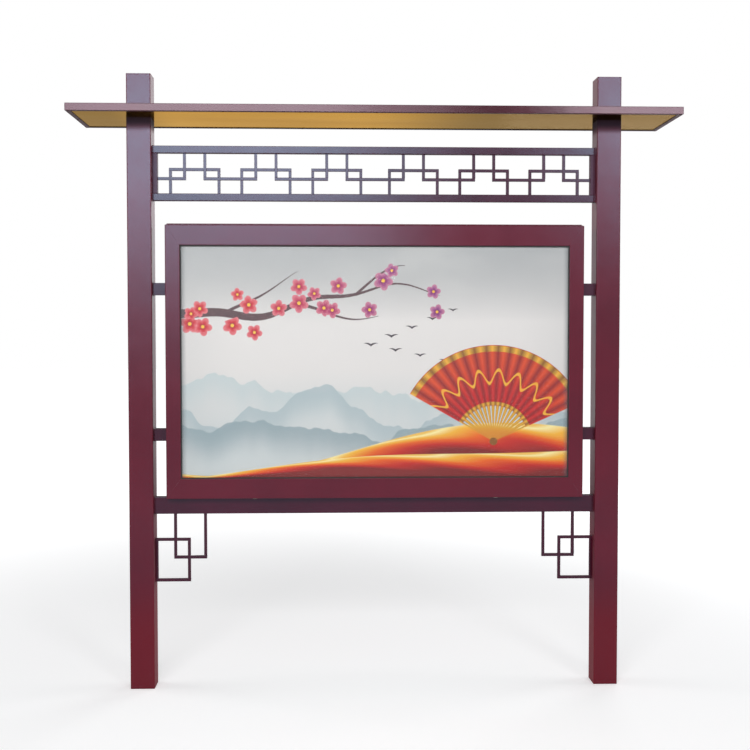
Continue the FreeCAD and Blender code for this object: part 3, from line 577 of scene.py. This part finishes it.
# Silk: colours across it, and for each fold its height, swell, phase and full width
SILK = (
    (0.0, srgb(120, 12, 18)),
    (0.3, srgb(196, 30, 24)),
    (0.55, srgb(232, 98, 26)),
    (0.8, srgb(246, 184, 62)),
    (0.93, srgb(255, 236, 170)),
    (1.0, srgb(244, 196, 96)),
)
SILK_FOLDS = ((-0.46, 0.045, 0.4, 0.13), (-0.49, 0.03, 2.3, 0.09))
SILK_WAVE = 3.4
SILK_GROWTH = (-0.75, 0.85)
SILK_RISE = 0.06
SILK_NARROW = 0.25
SILK_HEM = (1.0, 0.97)
SILK_FOOT = (-6.0, -5.0)
CREASE = 0.1
CREASE_ALONG = 14.0
CREASE_ACROSS = 6.0


def silk(g, x, up, colour):
    """Two folds of a red and gold band that widens to the right."""
    grown = g.step(x, *SILK_GROWTH)
    for low, swell, phase, width in SILK_FOLDS:
        base = low + swell * g.math("SINE", SILK_WAVE * x + phase) + SILK_RISE * grown
        depth = width * (SILK_NARROW + (1.0 - SILK_NARROW) * grown)
        across = (up - base) / depth
        creased = across + CREASE * g.math("SINE", CREASE_ALONG * x + CREASE_ACROSS * across)
        tone = g.ramp(g.math("MINIMUM", g.math("MAXIMUM", creased, 0.0), 1.0), SILK)
        shown = g.step(across, *SILK_HEM) * g.step(across, *SILK_FOOT)
        colour = g.mix(shown, colour, tone)
    return colour


# Fan: place of its rivet, radii of the leaf, bearings of its two edges, rings on the leaf, and colours
FAN_PLACE = (0.49, -0.33)
FAN_LEAF = (0.15, 0.40)
FAN_OPEN = (0.42, 2.62)
FAN_PLEATS = 17
FAN_RIVET = 0.017
FAN_SOFT = 0.002
FAN_CUT = 0.0015
FAN_SIDE_SOFT = 0.006
STICK_START = 0.012
STICK_EDGE = (0.25, 0.4)
OUTER_RIM = (FAN_LEAF[1] - 0.014, 0.013)
INNER_RIM = (FAN_LEAF[0] + 0.008, 0.008)
WAVY_LINE = 0.27
WAVY_SWING = 0.028
WAVY_TURNS = 22.0
WAVY_HALF = 0.008
FAN_RED = srgb(206, 30, 34)
FAN_DEEP = srgb(134, 14, 26)
FAN_GLOW = srgb(244, 120, 40)
FAN_GLOW_RANGE = (0.2, 0.36)
FAN_GLOW_SHARE = 0.35
FAN_GOLD = srgb(238, 178, 58)
FAN_BROWN = srgb(134, 84, 30)


def fan_ring(g, radius, middle, half):
    """1 up to half its width from the middle of a ring on the fan."""
    return g.step(abs(radius - middle), half, half - FAN_SOFT)


def fan(g, x, up, colour):
    """Open folding fan: pleated red leaf with gold rims and a wavy gold line, on gold sticks."""
    right = x - FAN_PLACE[0]
    rise = up - FAN_PLACE[1]
    radius = g.math("SQRT", right * right + rise * rise)
    bearing = g.math("ARCTAN2", rise, right)
    opened = g.within(bearing, *FAN_OPEN, FAN_SIDE_SOFT)
    pleats = (bearing - FAN_OPEN[0]) * (FAN_PLEATS / (FAN_OPEN[1] - FAN_OPEN[0]))
    pleat = abs(g.math("FRACT", pleats) - 0.5) * 2.0
    gilt = g.mix(pleat, FAN_BROWN, FAN_GOLD)
    leaf_colour = g.mix(pleat, FAN_DEEP, FAN_RED)
    wavy = WAVY_LINE + WAVY_SWING * g.math("SINE", bearing * WAVY_TURNS)
    leaf_colour = g.mix(fan_ring(g, radius, wavy, WAVY_HALF), leaf_colour, FAN_GOLD)
    glow = g.step(radius, *FAN_GLOW_RANGE) * FAN_GLOW_SHARE
    leaf_colour = g.mix(glow * pleat, leaf_colour, FAN_GLOW)
    rims = fan_ring(g, radius, *OUTER_RIM) + fan_ring(g, radius, *INNER_RIM)
    leaf_colour = g.mix(rims, leaf_colour, gilt)
    leaf = opened * g.within(radius, *FAN_LEAF, FAN_CUT)
    sticks = opened * g.within(radius, STICK_START, FAN_LEAF[0], FAN_CUT) * g.step(pleat, *STICK_EDGE)
    colour = g.mix(sticks, colour, gilt)
    colour = g.mix(leaf, colour, leaf_colour)
    return g.mix(g.step(radius, FAN_RIVET, FAN_RIVET - FAN_CUT), colour, FAN_BROWN)


# Branch: its ends, the waves of its line, its thickness, and its bark
BRANCH_START = -0.85
BRANCH_END = 0.27
BRANCH_TIP = 0.02
BRANCH_LEVEL = 0.25
BRANCH_BOW = 0.06
BRANCH_KINK = 0.014
BRANCH_HALF = 0.0025
BRANCH_HALF_MORE = 0.016
BRANCH_KNOTS = 0.004
BARK = (srgb(46, 30, 40), srgb(104, 66, 74))

# Side twigs: where each leaves the branch, its slope and its reach; then their bend, thickness and taper
TWIGS = ((-0.62, 0.62, 0.3), (-0.33, -0.5, 0.34), (-0.08, 0.55, 0.2))
TWIG_STEEP = 1.2
TWIG_BEND = 0.5
TWIG_HALF = 0.007
TWIG_TAPER = 1.15
TWIG_SOFT = 0.0015


def stroke(g, offset, half, soft):
    """1 on a brush stroke: up to half its width from its line, with a soft edge."""
    return g.step(abs(offset) - half, soft, -soft)


def branch_height(g, x):
    """Line of the branch: a long bow with short kinks."""
    bow = g.math("SINE", 4.6 * x + 1.2)
    kinks = g.math("SINE", 17.0 * x)
    return BRANCH_LEVEL + BRANCH_BOW * bow + BRANCH_KINK * kinks


def twigs(g, x, up, colour):
    """Dark branch from the left edge, thinning to the right, with three side twigs."""
    bark = g.noise(g.place, 60.0, 3.0)
    thick = g.step(x, BRANCH_END, BRANCH_START)
    half = BRANCH_HALF + BRANCH_HALF_MORE * thick + BRANCH_KNOTS * (bark - 0.5)
    stem = stroke(g, up - branch_height(g, x), half, TWIG_SOFT)
    stem = stem * g.step(x, BRANCH_END, BRANCH_END - BRANCH_TIP)
    for start, slope, reach in TWIGS:
        along = (x - start) / reach
        line = branch_height(g, x) + slope * (x - start) * (TWIG_STEEP - TWIG_BEND * along)
        twig = stroke(g, up - line, TWIG_HALF * (TWIG_TAPER - along), TWIG_SOFT)
        stem = g.math("MAXIMUM", stem, twig * g.within(along, 0.0, 1.0, 0.01))
    return g.mix(stem, colour, g.mix(bark, *BARK))


# Blossoms: cells to the metre, their reach from the branch, share of empty cells, sizes and colours
FLOWER_CELLS = 11.0
FLOWER_SPREAD = 0.8
FLOWER_REACH = 0.085
FLOWER_BARE = 0.2
FLOWER_CUT = 0.0001
FLOWER_LEAST = 0.027
FLOWER_MORE = 0.017
PETAL_DIP = 0.34
PETAL_EDGE = (1.0, 0.95)
PETAL_RED = srgb(206, 26, 48)
PETAL_PURPLE = srgb(138, 50, 128)
PURPLE_RANGE = (-0.6, 0.2)
PETAL_TIP = srgb(246, 176, 184)
PETAL_TIP_RANGE = (0.35, 1.0)
PETAL_TIP_SHARE = 0.45
PETAL_HEART = srgb(110, 10, 36)
PETAL_HEART_RANGE = (0.42, 0.2)
PETAL_HEART_SHARE = 0.6
STAMENS = srgb(248, 196, 70)
STAMENS_RANGE = (0.2, 0.15)


def blossoms(g, x, up, colour):
    """Five-petalled flowers scattered along the branch, crimson at the left and purple at the right."""
    random_colour, middle = g.cells(g.join(x, up), FLOWER_CELLS, FLOWER_SPREAD, "2D")
    first, second, third = g.split(random_colour)
    middle_x, middle_up, _ = g.split(middle)
    right = x - middle_x
    rise = up - middle_up
    radius = g.math("SQRT", right * right + rise * rise)
    bearing = g.math("ARCTAN2", rise, right) + math.tau * first
    size = FLOWER_LEAST + FLOWER_MORE * second
    rim = size * (1.0 - PETAL_DIP + PETAL_DIP * abs(g.math("COSINE", 2.5 * bearing)))
    out = radius / rim
    away = abs(middle_up - branch_height(g, middle_x))
    near = g.step(away, FLOWER_REACH, FLOWER_REACH - FLOWER_CUT)
    near = near * g.step(middle_x, BRANCH_END, BRANCH_END - FLOWER_CUT)
    shown = near * g.step(third, FLOWER_BARE, FLOWER_BARE + FLOWER_CUT) * g.step(out, *PETAL_EDGE)
    petal = g.mix(g.step(middle_x, *PURPLE_RANGE), PETAL_RED, PETAL_PURPLE)
    petal = g.mix(g.step(out, *PETAL_TIP_RANGE) * PETAL_TIP_SHARE, petal, PETAL_TIP)
    petal = g.mix(g.step(out, *PETAL_HEART_RANGE) * PETAL_HEART_SHARE, petal, PETAL_HEART)
    petal = g.mix(g.step(radius / size, *STAMENS_RANGE), petal, STAMENS)
    return g.mix(shown, colour, petal)


# Birds: place of the leader, steps along the two lines behind it, and the size of a bird
BIRD_LEAD = (-0.02, 0.07)
BIRD_LINES = ((0.085, 0.036), (0.102, -0.0216))
BIRD_ROWS = 4
BIRD_SPAN = 0.03
BIRD_SHRINK = 0.0012
BIRD_BODY = 0.17
BIRD_SOFT = 0.001
BIRD_INK = srgb(58, 44, 56)


def birds(g, x, up, colour):
    """A skein of far birds, two lines meeting at the leader."""
    places = [BIRD_LEAD]
    for row in range(1, BIRD_ROWS + 1):
        for step_x, step_up in BIRD_LINES:
            places.append((BIRD_LEAD[0] + step_x * row, BIRD_LEAD[1] + step_up * row))
    marks = 0.0
    for index, (bird_x, bird_up) in enumerate(places):
        span = BIRD_SPAN - BIRD_SHRINK * index
        along = abs((x - bird_x) / span)
        lift = span * (0.75 * along - 0.5 * along * along)
        half = BIRD_BODY * span * (1.05 - along)
        bird = stroke(g, up - bird_up - lift, half, BIRD_SOFT) * g.step(along, 1.02, 0.98)
        marks = g.math("MAXIMUM", marks, bird)
    return g.mix(marks, colour, BIRD_INK)


# Painted shade along the left and right margins of the poster, inside the frame
MARGIN_FADE = 0.028
MARGIN_SHADE = srgb(84, 86, 94)
MARGIN_SHADE_SHARE = 0.6


def printed_film():
    """Poster, with painted shade along its left and right margins."""
    g = Graph("printed_film")
    x, _, z = g.split(g.place)
    up = z - POSTER_MIDDLE
    colour = paper(g, x, up)
    for layer in (hills, birds, twigs, blossoms, silk, fan):
        colour = layer(g, x, up, colour)
    # Painted shade along the side margins
    edge_shade = g.step(abs(x), OPENING_SIDE - MARGIN_FADE, OPENING_SIDE)
    colour = g.mix(edge_shade * MARGIN_SHADE_SHARE, colour, MARGIN_SHADE)
    grain = g.noise(g.place, 700.0, 1.0)
    return g.surface(colour, 0.42 + 0.1 * grain, g.bump(grain, 0.00001))


MATERIALS = {
    "maroon_paint": glossy_paint("maroon_paint", MAROON, posts=True),
    "maroon_paint_lined": glossy_paint("maroon_paint_lined", MAROON, lined=True),
    # The plum looks are the maroon darkened as painted shade
    "shaded_plum_paint": glossy_paint("shaded_plum_paint", SHADED_MAROON),
    "canopy_paint": glossy_paint("canopy_paint", SHADED_MAROON, shine=PALE_GLOSS, polish=HIGH_GLOSS),
    "shaded_plum_satin": glossy_paint("shaded_plum_satin", SHADED_MAROON, polish=SATIN),
    "gold_sheet": gold_sheet(),
    "zinc_steel": zinc_steel(),
    "bare_aluminium": bare_aluminium(),
    "clear_plastic": moulded("clear_plastic", (206, 212, 216), (232, 236, 238), 0.22, 500.0),
    "opal_plastic": opal_sheet(),
    "black_plastic": moulded("black_plastic", (22, 23, 25), (44, 45, 48), 0.5, 900.0),
    "black_rubber": moulded("black_rubber", (14, 14, 15), (34, 33, 34), 0.72, 700.0),
    "clear_glass": clear_glass(),
    "printed_film": printed_film(),
    "black_enamel": moulded("black_enamel", (14, 14, 16), (30, 30, 34), 0.24, 300.0),
    "polished_rod": bright_metal("polished_rod", (196, 198, 202), (226, 228, 230), 0.06),
    "bright_lock": bright_metal("bright_lock", (112, 104, 94), (146, 137, 124), 0.28),
    "lit_resin": lit_resin(),
}

# Nodes that look other than their slot
OTHER_LOOKS = {
    "maroon_paint_lined": ("box_top_wall", "box_bottom_wall", "box_left_wall", "box_right_wall",
                           "back_panel"),
    "canopy_paint": ("canopy_skin",),
    # Painted shade: pieces set back under the canopy and the door take the darker copy of the paint
    "shaded_plum_paint": ("transom_bottom_rail", "transom_top_rail", "transom_standing_frets",
                   "transom_hanging_frets", "lower_rail", "box_stubs", "corner_fret_post_loops",
                   "corner_fret_rail_loops"),
    "shaded_plum_satin": ("transom_stiles",),
}

# Nodes with rounded edges, by the width of the rounding
SOFTENED = {
    0.0015: ("transom_bottom_rail", "transom_top_rail", "transom_stiles", "lower_rail", "canopy_skin",
             "post_caps"),
    0.0008: ("transom_standing_frets", "transom_hanging_frets", "corner_fret_post_loops",
             "corner_fret_rail_loops"),
}
ROUND_SEGMENTS = 3
ROUND_ANGLE = math.radians(40)
WELD_DISTANCE = 0.00001
FILM_SLACK = 0.0002


def welded(name):
    """A CAD node's object, with its faces joined along their edges."""
    node = frame["nodes"][name]
    weld = node.modifiers.new("weld", "WELD")
    weld.merge_threshold = WELD_DISTANCE
    return node


def dress_frame():
    """Give every CAD node its material, round the edges of the plain bars and keep the film off the glass."""
    for node in frame["nodes"].values():
        for slot in node.material_slots:
            slot.material = MATERIALS[slot.material.name]
    for look, names in OTHER_LOOKS.items():
        for name in names:
            frame["nodes"][name].material_slots[0].material = MATERIALS[look]
    for width, names in SOFTENED.items():
        for name in names:
            bevel = welded(name).modifiers.new("edges", "BEVEL")
            bevel.width = width
            bevel.segments = ROUND_SEGMENTS
            bevel.limit_method = "ANGLE"
            bevel.angle_limit = ROUND_ANGLE
    slack = welded("poster_sheet").modifiers.new("slack", "DISPLACE")
    slack.strength = -FILM_SLACK
    slack.mid_level = 0.0


def keep(name, mesh, look, body):
    """Make a piece of a filled bmesh, riding on a body."""
    data = bpy.data.meshes.new(name)
    bmesh.ops.recalc_face_normals(mesh, faces=mesh.faces)
    mesh.to_mesh(data)
    mesh.free()
    data.materials.append(MATERIALS[look])
    piece = bpy.data.objects.new(name, data)
    bpy.context.scene.collection.objects.link(piece)
    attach(piece, body)


AROUND = 12


def turned(mesh, origin, axis, profile):
    """Add a turned solid: profile rows are (radius, height, hexagonal), from its foot to its middle."""
    turn = Vector(axis).to_track_quat("Z", "Y")
    rings = []
    for radius, height, hexagonal in profile:
        ring = []
        for index in range(AROUND):
            angle = 2 * math.pi * index / AROUND
            reach = radius * (math.cos(math.pi / 6) if hexagonal and index % 2 else 1.0)
            local = Vector((reach * math.cos(angle), reach * math.sin(angle), height))
            ring.append(mesh.verts.new(Vector(origin) + turn @ local))
        rings.append(ring)
    for low, high in zip(rings, rings[1:]):
        for index in range(AROUND):
            after = (index + 1) % AROUND
            face = mesh.faces.new((low[index], low[after], high[after], high[index]))
            face.smooth = True
    mesh.faces.new(rings[0][::-1])
    mesh.faces.new(rings[-1])


# Turned profiles, sunk a little into the face that they sit on
SUNK = -0.0004
RIVET = (
    (0.0034, SUNK, False), (0.0034, 0.0003, False), (0.0030, 0.0009, False), (0.0020, 0.0014, False),
    (0.0011, 0.0015, False), (0.0009, 0.0009, False),
)
PAN_SCREW = (
    (0.0036, SUNK, False), (0.0036, 0.0006, False), (0.0031, 0.0012, False), (0.0021, 0.0015, False),
    (0.0018, 0.0015, True), (0.0017, 0.0005, True),
)
LENS = (
    (0.0048, SUNK, False), (0.0048, 0.0004, False), (0.0044, 0.0016, False), (0.0034, 0.0026, False),
    (0.0018, 0.0032, False), (0.0004, 0.0033, False),
)
WELL_SCREW = (
    (0.0029, SUNK, False), (0.0029, 0.0010, False), (0.0026, 0.0013, False), (0.0012, 0.0013, True),
    (0.0011, 0.0006, True),
)


def inner(low, high, inset):
    """A span made shorter by an inset at both ends."""
    return (low + inset, high - inset)


def spaced(low, high, pitch):
    """Even places from low to high, about a pitch apart."""
    count = max(1, round((high - low) / pitch))
    return [low + (high - low) * index / count for index in range(count + 1)]


def rim_places(first_span, second_span, first_pitch, second_pitch):
    """Places round a rectangle, along its first direction and then along its second."""
    places = []
    for first in spaced(*first_span, first_pitch):
        places += [(first, second) for second in second_span]
    for second in spaced(*second_span, second_pitch)[1:-1]:
        places += [(first, second) for first in first_span]
    return places


def row_of(name, profile, sites, look, body):
    """One piece of many turned solids; sites are (origin, axis)."""
    mesh = bmesh.new()
    for origin, axis in sites:
        turned(mesh, origin, axis, profile)
    keep(name, mesh, look, body)


RIVET_INSET = 0.010
BACK_PITCH = 0.155
SOFFIT_PITCH = 0.3
SOFFIT_END_PITCH = 0.2


def back_rivets():
    """Rivets round the rim of the back panel."""
    low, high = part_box("back_panel")
    wide = inner(low.x, high.x, RIVET_INSET)
    tall = inner(low.z, high.z, RIVET_INSET)
    places = rim_places(wide, tall, BACK_PITCH, BACK_PITCH)
    sites = [((x, high.y, z), REARWARD) for x, z in places]
    row_of("back_panel_rivets", RIVET, sites, "zinc_steel", "stand")


def soffit_rivets():
    """Rivets in the return lip under the canopy."""
    low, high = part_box("canopy_skin")
    wide = inner(low.x, high.x, RIVET_INSET)
    deep = inner(low.y, high.y, RIVET_INSET)
    places = rim_places(wide, deep, SOFFIT_PITCH, SOFFIT_END_PITCH)
    sites = [((x, y, low.z), DOWN) for x, y in places]
    row_of("soffit_rivets", RIVET, sites, "maroon_paint", "stand")


HINGE_SHEET = 0.002
HINGE_INSET = 0.012
HINGE_END = 0.03
HINGE_PITCH = 0.15


def hinge_screws():
    """Screws down through both leaves of the hinge."""
    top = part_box("door_top_rail")[1].z + HINGE_SHEET
    for name, body in (("hinge_box_leaf", "stand"), ("hinge_door_leaf", "door")):
        low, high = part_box(name)
        y = high.y - HINGE_INSET if body == "stand" else low.y + HINGE_INSET
        sites = [((x, y, top), UP) for x in spaced(*inner(low.x, high.x, HINGE_END), HINGE_PITCH)]
        row_of(name + "_screws", PAN_SCREW, sites, "zinc_steel", body)


RETAINER_SHEET = 0.002
RETAINER_INSET = 0.006
RETAINER_ENDS = (0.05, 0.08)
RETAINER_PITCH = 0.25


def retainer_screws():
    """Screws through the standing legs of the retaining angles into the door frame."""
    low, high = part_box("panel_retainers")
    y = high.y - RETAINER_INSET
    left, right = inner(low.x, high.x, RETAINER_SHEET)
    bottom, top = inner(low.z, high.z, RETAINER_SHEET)
    sites = []
    for x in spaced(*inner(low.x, high.x, RETAINER_ENDS[0]), RETAINER_PITCH):
        sites += [((x, y, bottom), UP), ((x, y, top), DOWN)]
    for z in spaced(*inner(low.z, high.z, RETAINER_ENDS[1]), RETAINER_PITCH):
        sites += [((left, y, z), (1, 0, 0)), ((right, y, z), (-1, 0, 0))]
    row_of("retainer_screws", PAN_SCREW, sites, "zinc_steel", "door")


BRACKET_SHEET = 0.003
BRACKET_INSET = 0.008
BRACKET_HALF = 0.0075


def bracket_screws():
    """Screws of the strut brackets, four to each on the box and two to each on the door."""
    low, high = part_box("strut_box_brackets")
    sites = []
    for side in SIDES:
        face = side * (high.x - BRACKET_SHEET)
        for z in inner(low.z, high.z, BRACKET_INSET):
            sites += [((face, y, z), (-side, 0, 0)) for y in inner(low.y, high.y, BRACKET_INSET)]
    row_of("strut_box_bracket_screws", PAN_SCREW, sites, "zinc_steel", "stand")
    low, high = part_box("strut_door_brackets")
    face = low.y + BRACKET_SHEET
    sites = []
    for side in SIDES:
        x = side * (high.x - BRACKET_HALF)
        sites += [((x, face, z), REARWARD) for z in inner(low.z, high.z, BRACKET_INSET)]
    row_of("strut_door_bracket_screws", PAN_SCREW, sites, "zinc_steel", "door")


LED_BARS = 8
LED_MODULES = 5
LED_HALF_WIDE = 0.008
LED_HALF_TALL = 0.030
LENS_PITCH = 0.020


def led_lenses():
    """Three lens domes on every LED module."""
    low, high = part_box("led_modules")
    columns = spaced(*inner(low.x, high.x, LED_HALF_WIDE), (high.x - low.x) / (LED_BARS - 1))
    rows = spaced(*inner(low.z, high.z, LED_HALF_TALL), (high.z - low.z) / (LED_MODULES - 1))
    sites = []
    for x in columns:
        for z in rows:
            sites += [((x, low.y, z + shift), FORWARD) for shift in (-LENS_PITCH, 0.0, LENS_PITCH)]
    row_of("led_lenses", LENS, sites, "lit_resin", "stand")


TERMINAL_WAYS = 6
TERMINAL_WELL = 0.008


def terminal_screws():
    """A screw at the bottom of each well of the terminal block."""
    low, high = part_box("terminal_block")
    pitch = (high.x - low.x) / TERMINAL_WAYS
    well = low.y + TERMINAL_WELL
    middle = (low.z + high.z) / 2
    sites = [((low.x + pitch * (way + 0.5), well, middle), FORWARD) for way in range(TERMINAL_WAYS)]
    row_of("terminal_screws", WELL_SCREW, sites, "bright_lock", "stand")


# Weld beads: spacing of rings, points to a ring, radii on rails and frets, depth in the post, and ripples
BEAD_STEP = 0.003
BEAD_AROUND = 8
RAIL_BEAD = 0.0022
FRET_BEAD = 0.0014
BEAD_SUNK = 0.0004
RIPPLE = 0.12
RIPPLE_TURN = 2.1
RIPPLE_RANDOM = 0.08


def bead_loop(mesh, x, y_span, z_span, radius):
    """Weld bead round the end of a rectangular bar that meets a post, with ripples."""
    corners = [(y_span[0], z_span[0]), (y_span[1], z_span[0]), (y_span[1], z_span[1]), (y_span[0], z_span[1])]
    middle = Vector((sum(y_span) / 2, sum(z_span) / 2))
    path = []
    for start, end in zip(corners, corners[1:] + corners[:1]):
        start, end = Vector(start), Vector(end)
        count = max(2, round((end - start).length / BEAD_STEP))
        path += [start.lerp(end, index / count) for index in range(count)]
    rings = []
    for index, point in enumerate(path):
        outward = (point - middle).normalized()
        uneven = RIPPLE * math.sin(RIPPLE_TURN * index) + random.uniform(-RIPPLE_RANDOM, RIPPLE_RANDOM)
        reach = radius * (1 + uneven)
        ring = []
        for turn in range(BEAD_AROUND):
            angle = 2 * math.pi * turn / BEAD_AROUND
            flat = point + outward * (reach * math.cos(angle))
            ring.append(mesh.verts.new((x + reach * math.sin(angle), flat.x, flat.y)))
        rings.append(ring)
    for low, high in zip(rings, rings[1:] + rings[:1]):
        for turn in range(BEAD_AROUND):
            after = (turn + 1) % BEAD_AROUND
            mesh.faces.new((low[turn], low[after], high[after], high[turn])).smooth = True


def weld_beads():
    """Painted welds where the rails, stubs and fret loops meet the posts."""
    mesh = bmesh.new()
    bars = []
    for name in ("transom_bottom_rail", "transom_top_rail", "lower_rail"):
        low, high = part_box(name)
        bars.append(((low.y, high.y), (low.z, high.z), RAIL_BEAD))
    for name, radius in (("box_stubs", RAIL_BEAD), ("corner_fret_post_loops", FRET_BEAD)):
        low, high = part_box(name)
        thick = high.y - low.y
        bars.append(((low.y, high.y), (low.z, low.z + thick), radius))
        bars.append(((low.y, high.y), (high.z - thick, high.z), radius))
    for side in SIDES:
        for y_span, z_span, radius in bars:
            bead_loop(mesh, side * (POST_FACE - BEAD_SUNK), y_span, z_span, radius)
    # The welds take the darker copy of the paint as painted shade
    keep("weld_beads", mesh, "shaded_plum_paint", "stand")


FLOOR_HALF = 40.0
FLOOR_LEVEL = -0.0005
FLOOR_PALE = (0.8, 0.8, 0.8, 1.0)
FLOOR_LIFT_NEAR = 0.4
FLOOR_LIFT_RANGE = (1.5, 7.0)


def seen_rays(tree):
    """1 for rays from the camera and for mirrored or passed-through ones."""
    path = tree.nodes.new("ShaderNodeLightPath")
    total = path.outputs["Is Camera Ray"]
    for name in ("Is Glossy Ray", "Is Transmission Ray"):
        either = tree.nodes.new("ShaderNodeMath")
        either.operation = "MAXIMUM"
        tree.links.new(total, either.inputs[0])
        tree.links.new(path.outputs[name], either.inputs[1])
        total = either.outputs[0]
    return total


def floor():
    """Pale floor: it takes the shadow, and shows white where it is lit."""
    g = Graph("floor")
    matte = g.make("ShaderNodeBsdfDiffuse")
    matte.inputs["Color"].default_value = FLOOR_PALE
    lift = g.make("ShaderNodeEmission")
    x, y, _ = g.split(g.place)
    distance = g.math("SQRT", x * x + y * y)
    strength = FLOOR_LIFT_NEAR + (1.0 - FLOOR_LIFT_NEAR) * g.step(distance, *FLOOR_LIFT_RANGE)
    g.feed(lift.inputs["Strength"], strength * Field(g, seen_rays(g.tree)))
    both = g.make("ShaderNodeAddShader")
    g.tree.links.new(matte.outputs[0], both.inputs[0])
    g.tree.links.new(lift.outputs[0], both.inputs[1])
    g.tree.links.new(both.outputs[0], g.output.inputs["Surface"])
    mesh = bpy.data.meshes.new("floor")
    quarters = ((-1, -1), (1, -1), (1, 1), (-1, 1))
    corners = [(FLOOR_HALF * right, FLOOR_HALF * rear, FLOOR_LEVEL) for right, rear in quarters]
    mesh.from_pydata(corners, [], [(0, 1, 2, 3)])
    mesh.materials.append(g.material)
    plane = bpy.data.objects.new("floor", mesh)
    bpy.context.scene.collection.objects.link(plane)


FILL = 0.14
FILL_TINT = (0.94, 0.96, 1.0, 1.0)
WHITE = (1.0, 1.0, 1.0, 1.0)


def surroundings():
    """White to look at, and an even soft fill for the object."""
    world = bpy.data.worlds.new("studio")
    bpy.context.scene.world = world
    world.use_nodes = True
    tree = world.node_tree
    tree.nodes.clear()
    fill = tree.nodes.new("ShaderNodeBackground")
    fill.inputs["Color"].default_value = FILL_TINT
    fill.inputs["Strength"].default_value = FILL
    white = tree.nodes.new("ShaderNodeBackground")
    white.inputs["Color"].default_value = WHITE
    blend = tree.nodes.new("ShaderNodeMixShader")
    tree.links.new(seen_rays(tree), blend.inputs[0])
    tree.links.new(fill.outputs[0], blend.inputs[1])
    tree.links.new(white.outputs[0], blend.inputs[2])
    output = tree.nodes.new("ShaderNodeOutputWorld")
    tree.links.new(blend.outputs[0], output.inputs["Surface"])


# Upright soft boxes: lowest and highest corner, and how bright the panel is to look at
PANELS = {
    "front_left_high": ((-2.9, -6.2, 2.75), (0.05, -6.2, 4.35), 11.8),
    "front_left_fade": ((0.05, -6.2, 2.75), (0.9, -6.2, 4.35), 5.0),
    "front_left_middle": ((-2.9, -6.2, 1.95), (0.4, -6.2, 2.75), 6.3),
    "front_left_low": ((-2.9, -6.2, 1.2), (0.4, -6.2, 1.95), 1.2),
    "front_right_high": ((1.92, -6.2, 3.2), (3.4, -6.2, 4.4), 13.8),
    "front_right_middle": ((2.25, -6.2, 2.3), (3.4, -6.2, 3.2), 5.2),
    "left_side": ((-6.5, -1.0, 2.2), (-6.5, 3.0, 4.6), 4.2),
    "right_side": ((6.5, -1.0, 2.2), (6.5, 3.0, 4.6), 4.2),
    "back": ((1.5, 6.5, 1.8), (6.5, 6.5, 4.4), 5.0),
}
PANEL_WHITE = (0.98, 0.99, 1.0)


def lamps():
    """Area lamps for the soft boxes, each facing the middle plane of the object."""
    for name, (low_corner, high_corner, brightness) in PANELS.items():
        span = Vector(high_corner) - Vector(low_corner)
        middle = (Vector(high_corner) + Vector(low_corner)) / 2
        inward = Vector((0.0, -middle.y, 0.0)) if span.y == 0 else Vector((-middle.x, 0.0, 0.0))
        lamp = bpy.data.lights.new(name, "AREA")
        lamp.shape = "RECTANGLE"
        lamp.size = max(span.x, span.y)
        lamp.size_y = span.z
        lamp.energy = brightness * math.pi * lamp.size * lamp.size_y
        lamp.color = PANEL_WHITE
        holder = bpy.data.objects.new(name, lamp)
        holder.location = middle
        holder.rotation_mode = "QUATERNION"
        holder.rotation_quaternion = inward.to_track_quat("-Z", "Y")
        bpy.context.scene.collection.objects.link(holder)


def camera():
    """The camera of the photograph, as it was fitted."""
    data = bpy.data.cameras.new("camera")
    data.lens = CAMERA_LENS
    data.sensor_width = CAMERA_SENSOR
    holder = bpy.data.objects.new("camera", data)
    holder.location = CAMERA_PLACE
    holder.rotation_mode = "QUATERNION"
    holder.rotation_quaternion = CAMERA_AIM.to_track_quat("-Z", "Y")
    bpy.context.scene.collection.objects.link(holder)
    bpy.context.scene.camera = holder


dress_frame()
back_rivets()
hinge_screws()
soffit_rivets()
retainer_screws()
bracket_screws()
led_lenses()
terminal_screws()
weld_beads()
floor()
surroundings()
lamps()
camera()
bpy.context.scene.view_settings.view_transform = "Standard"
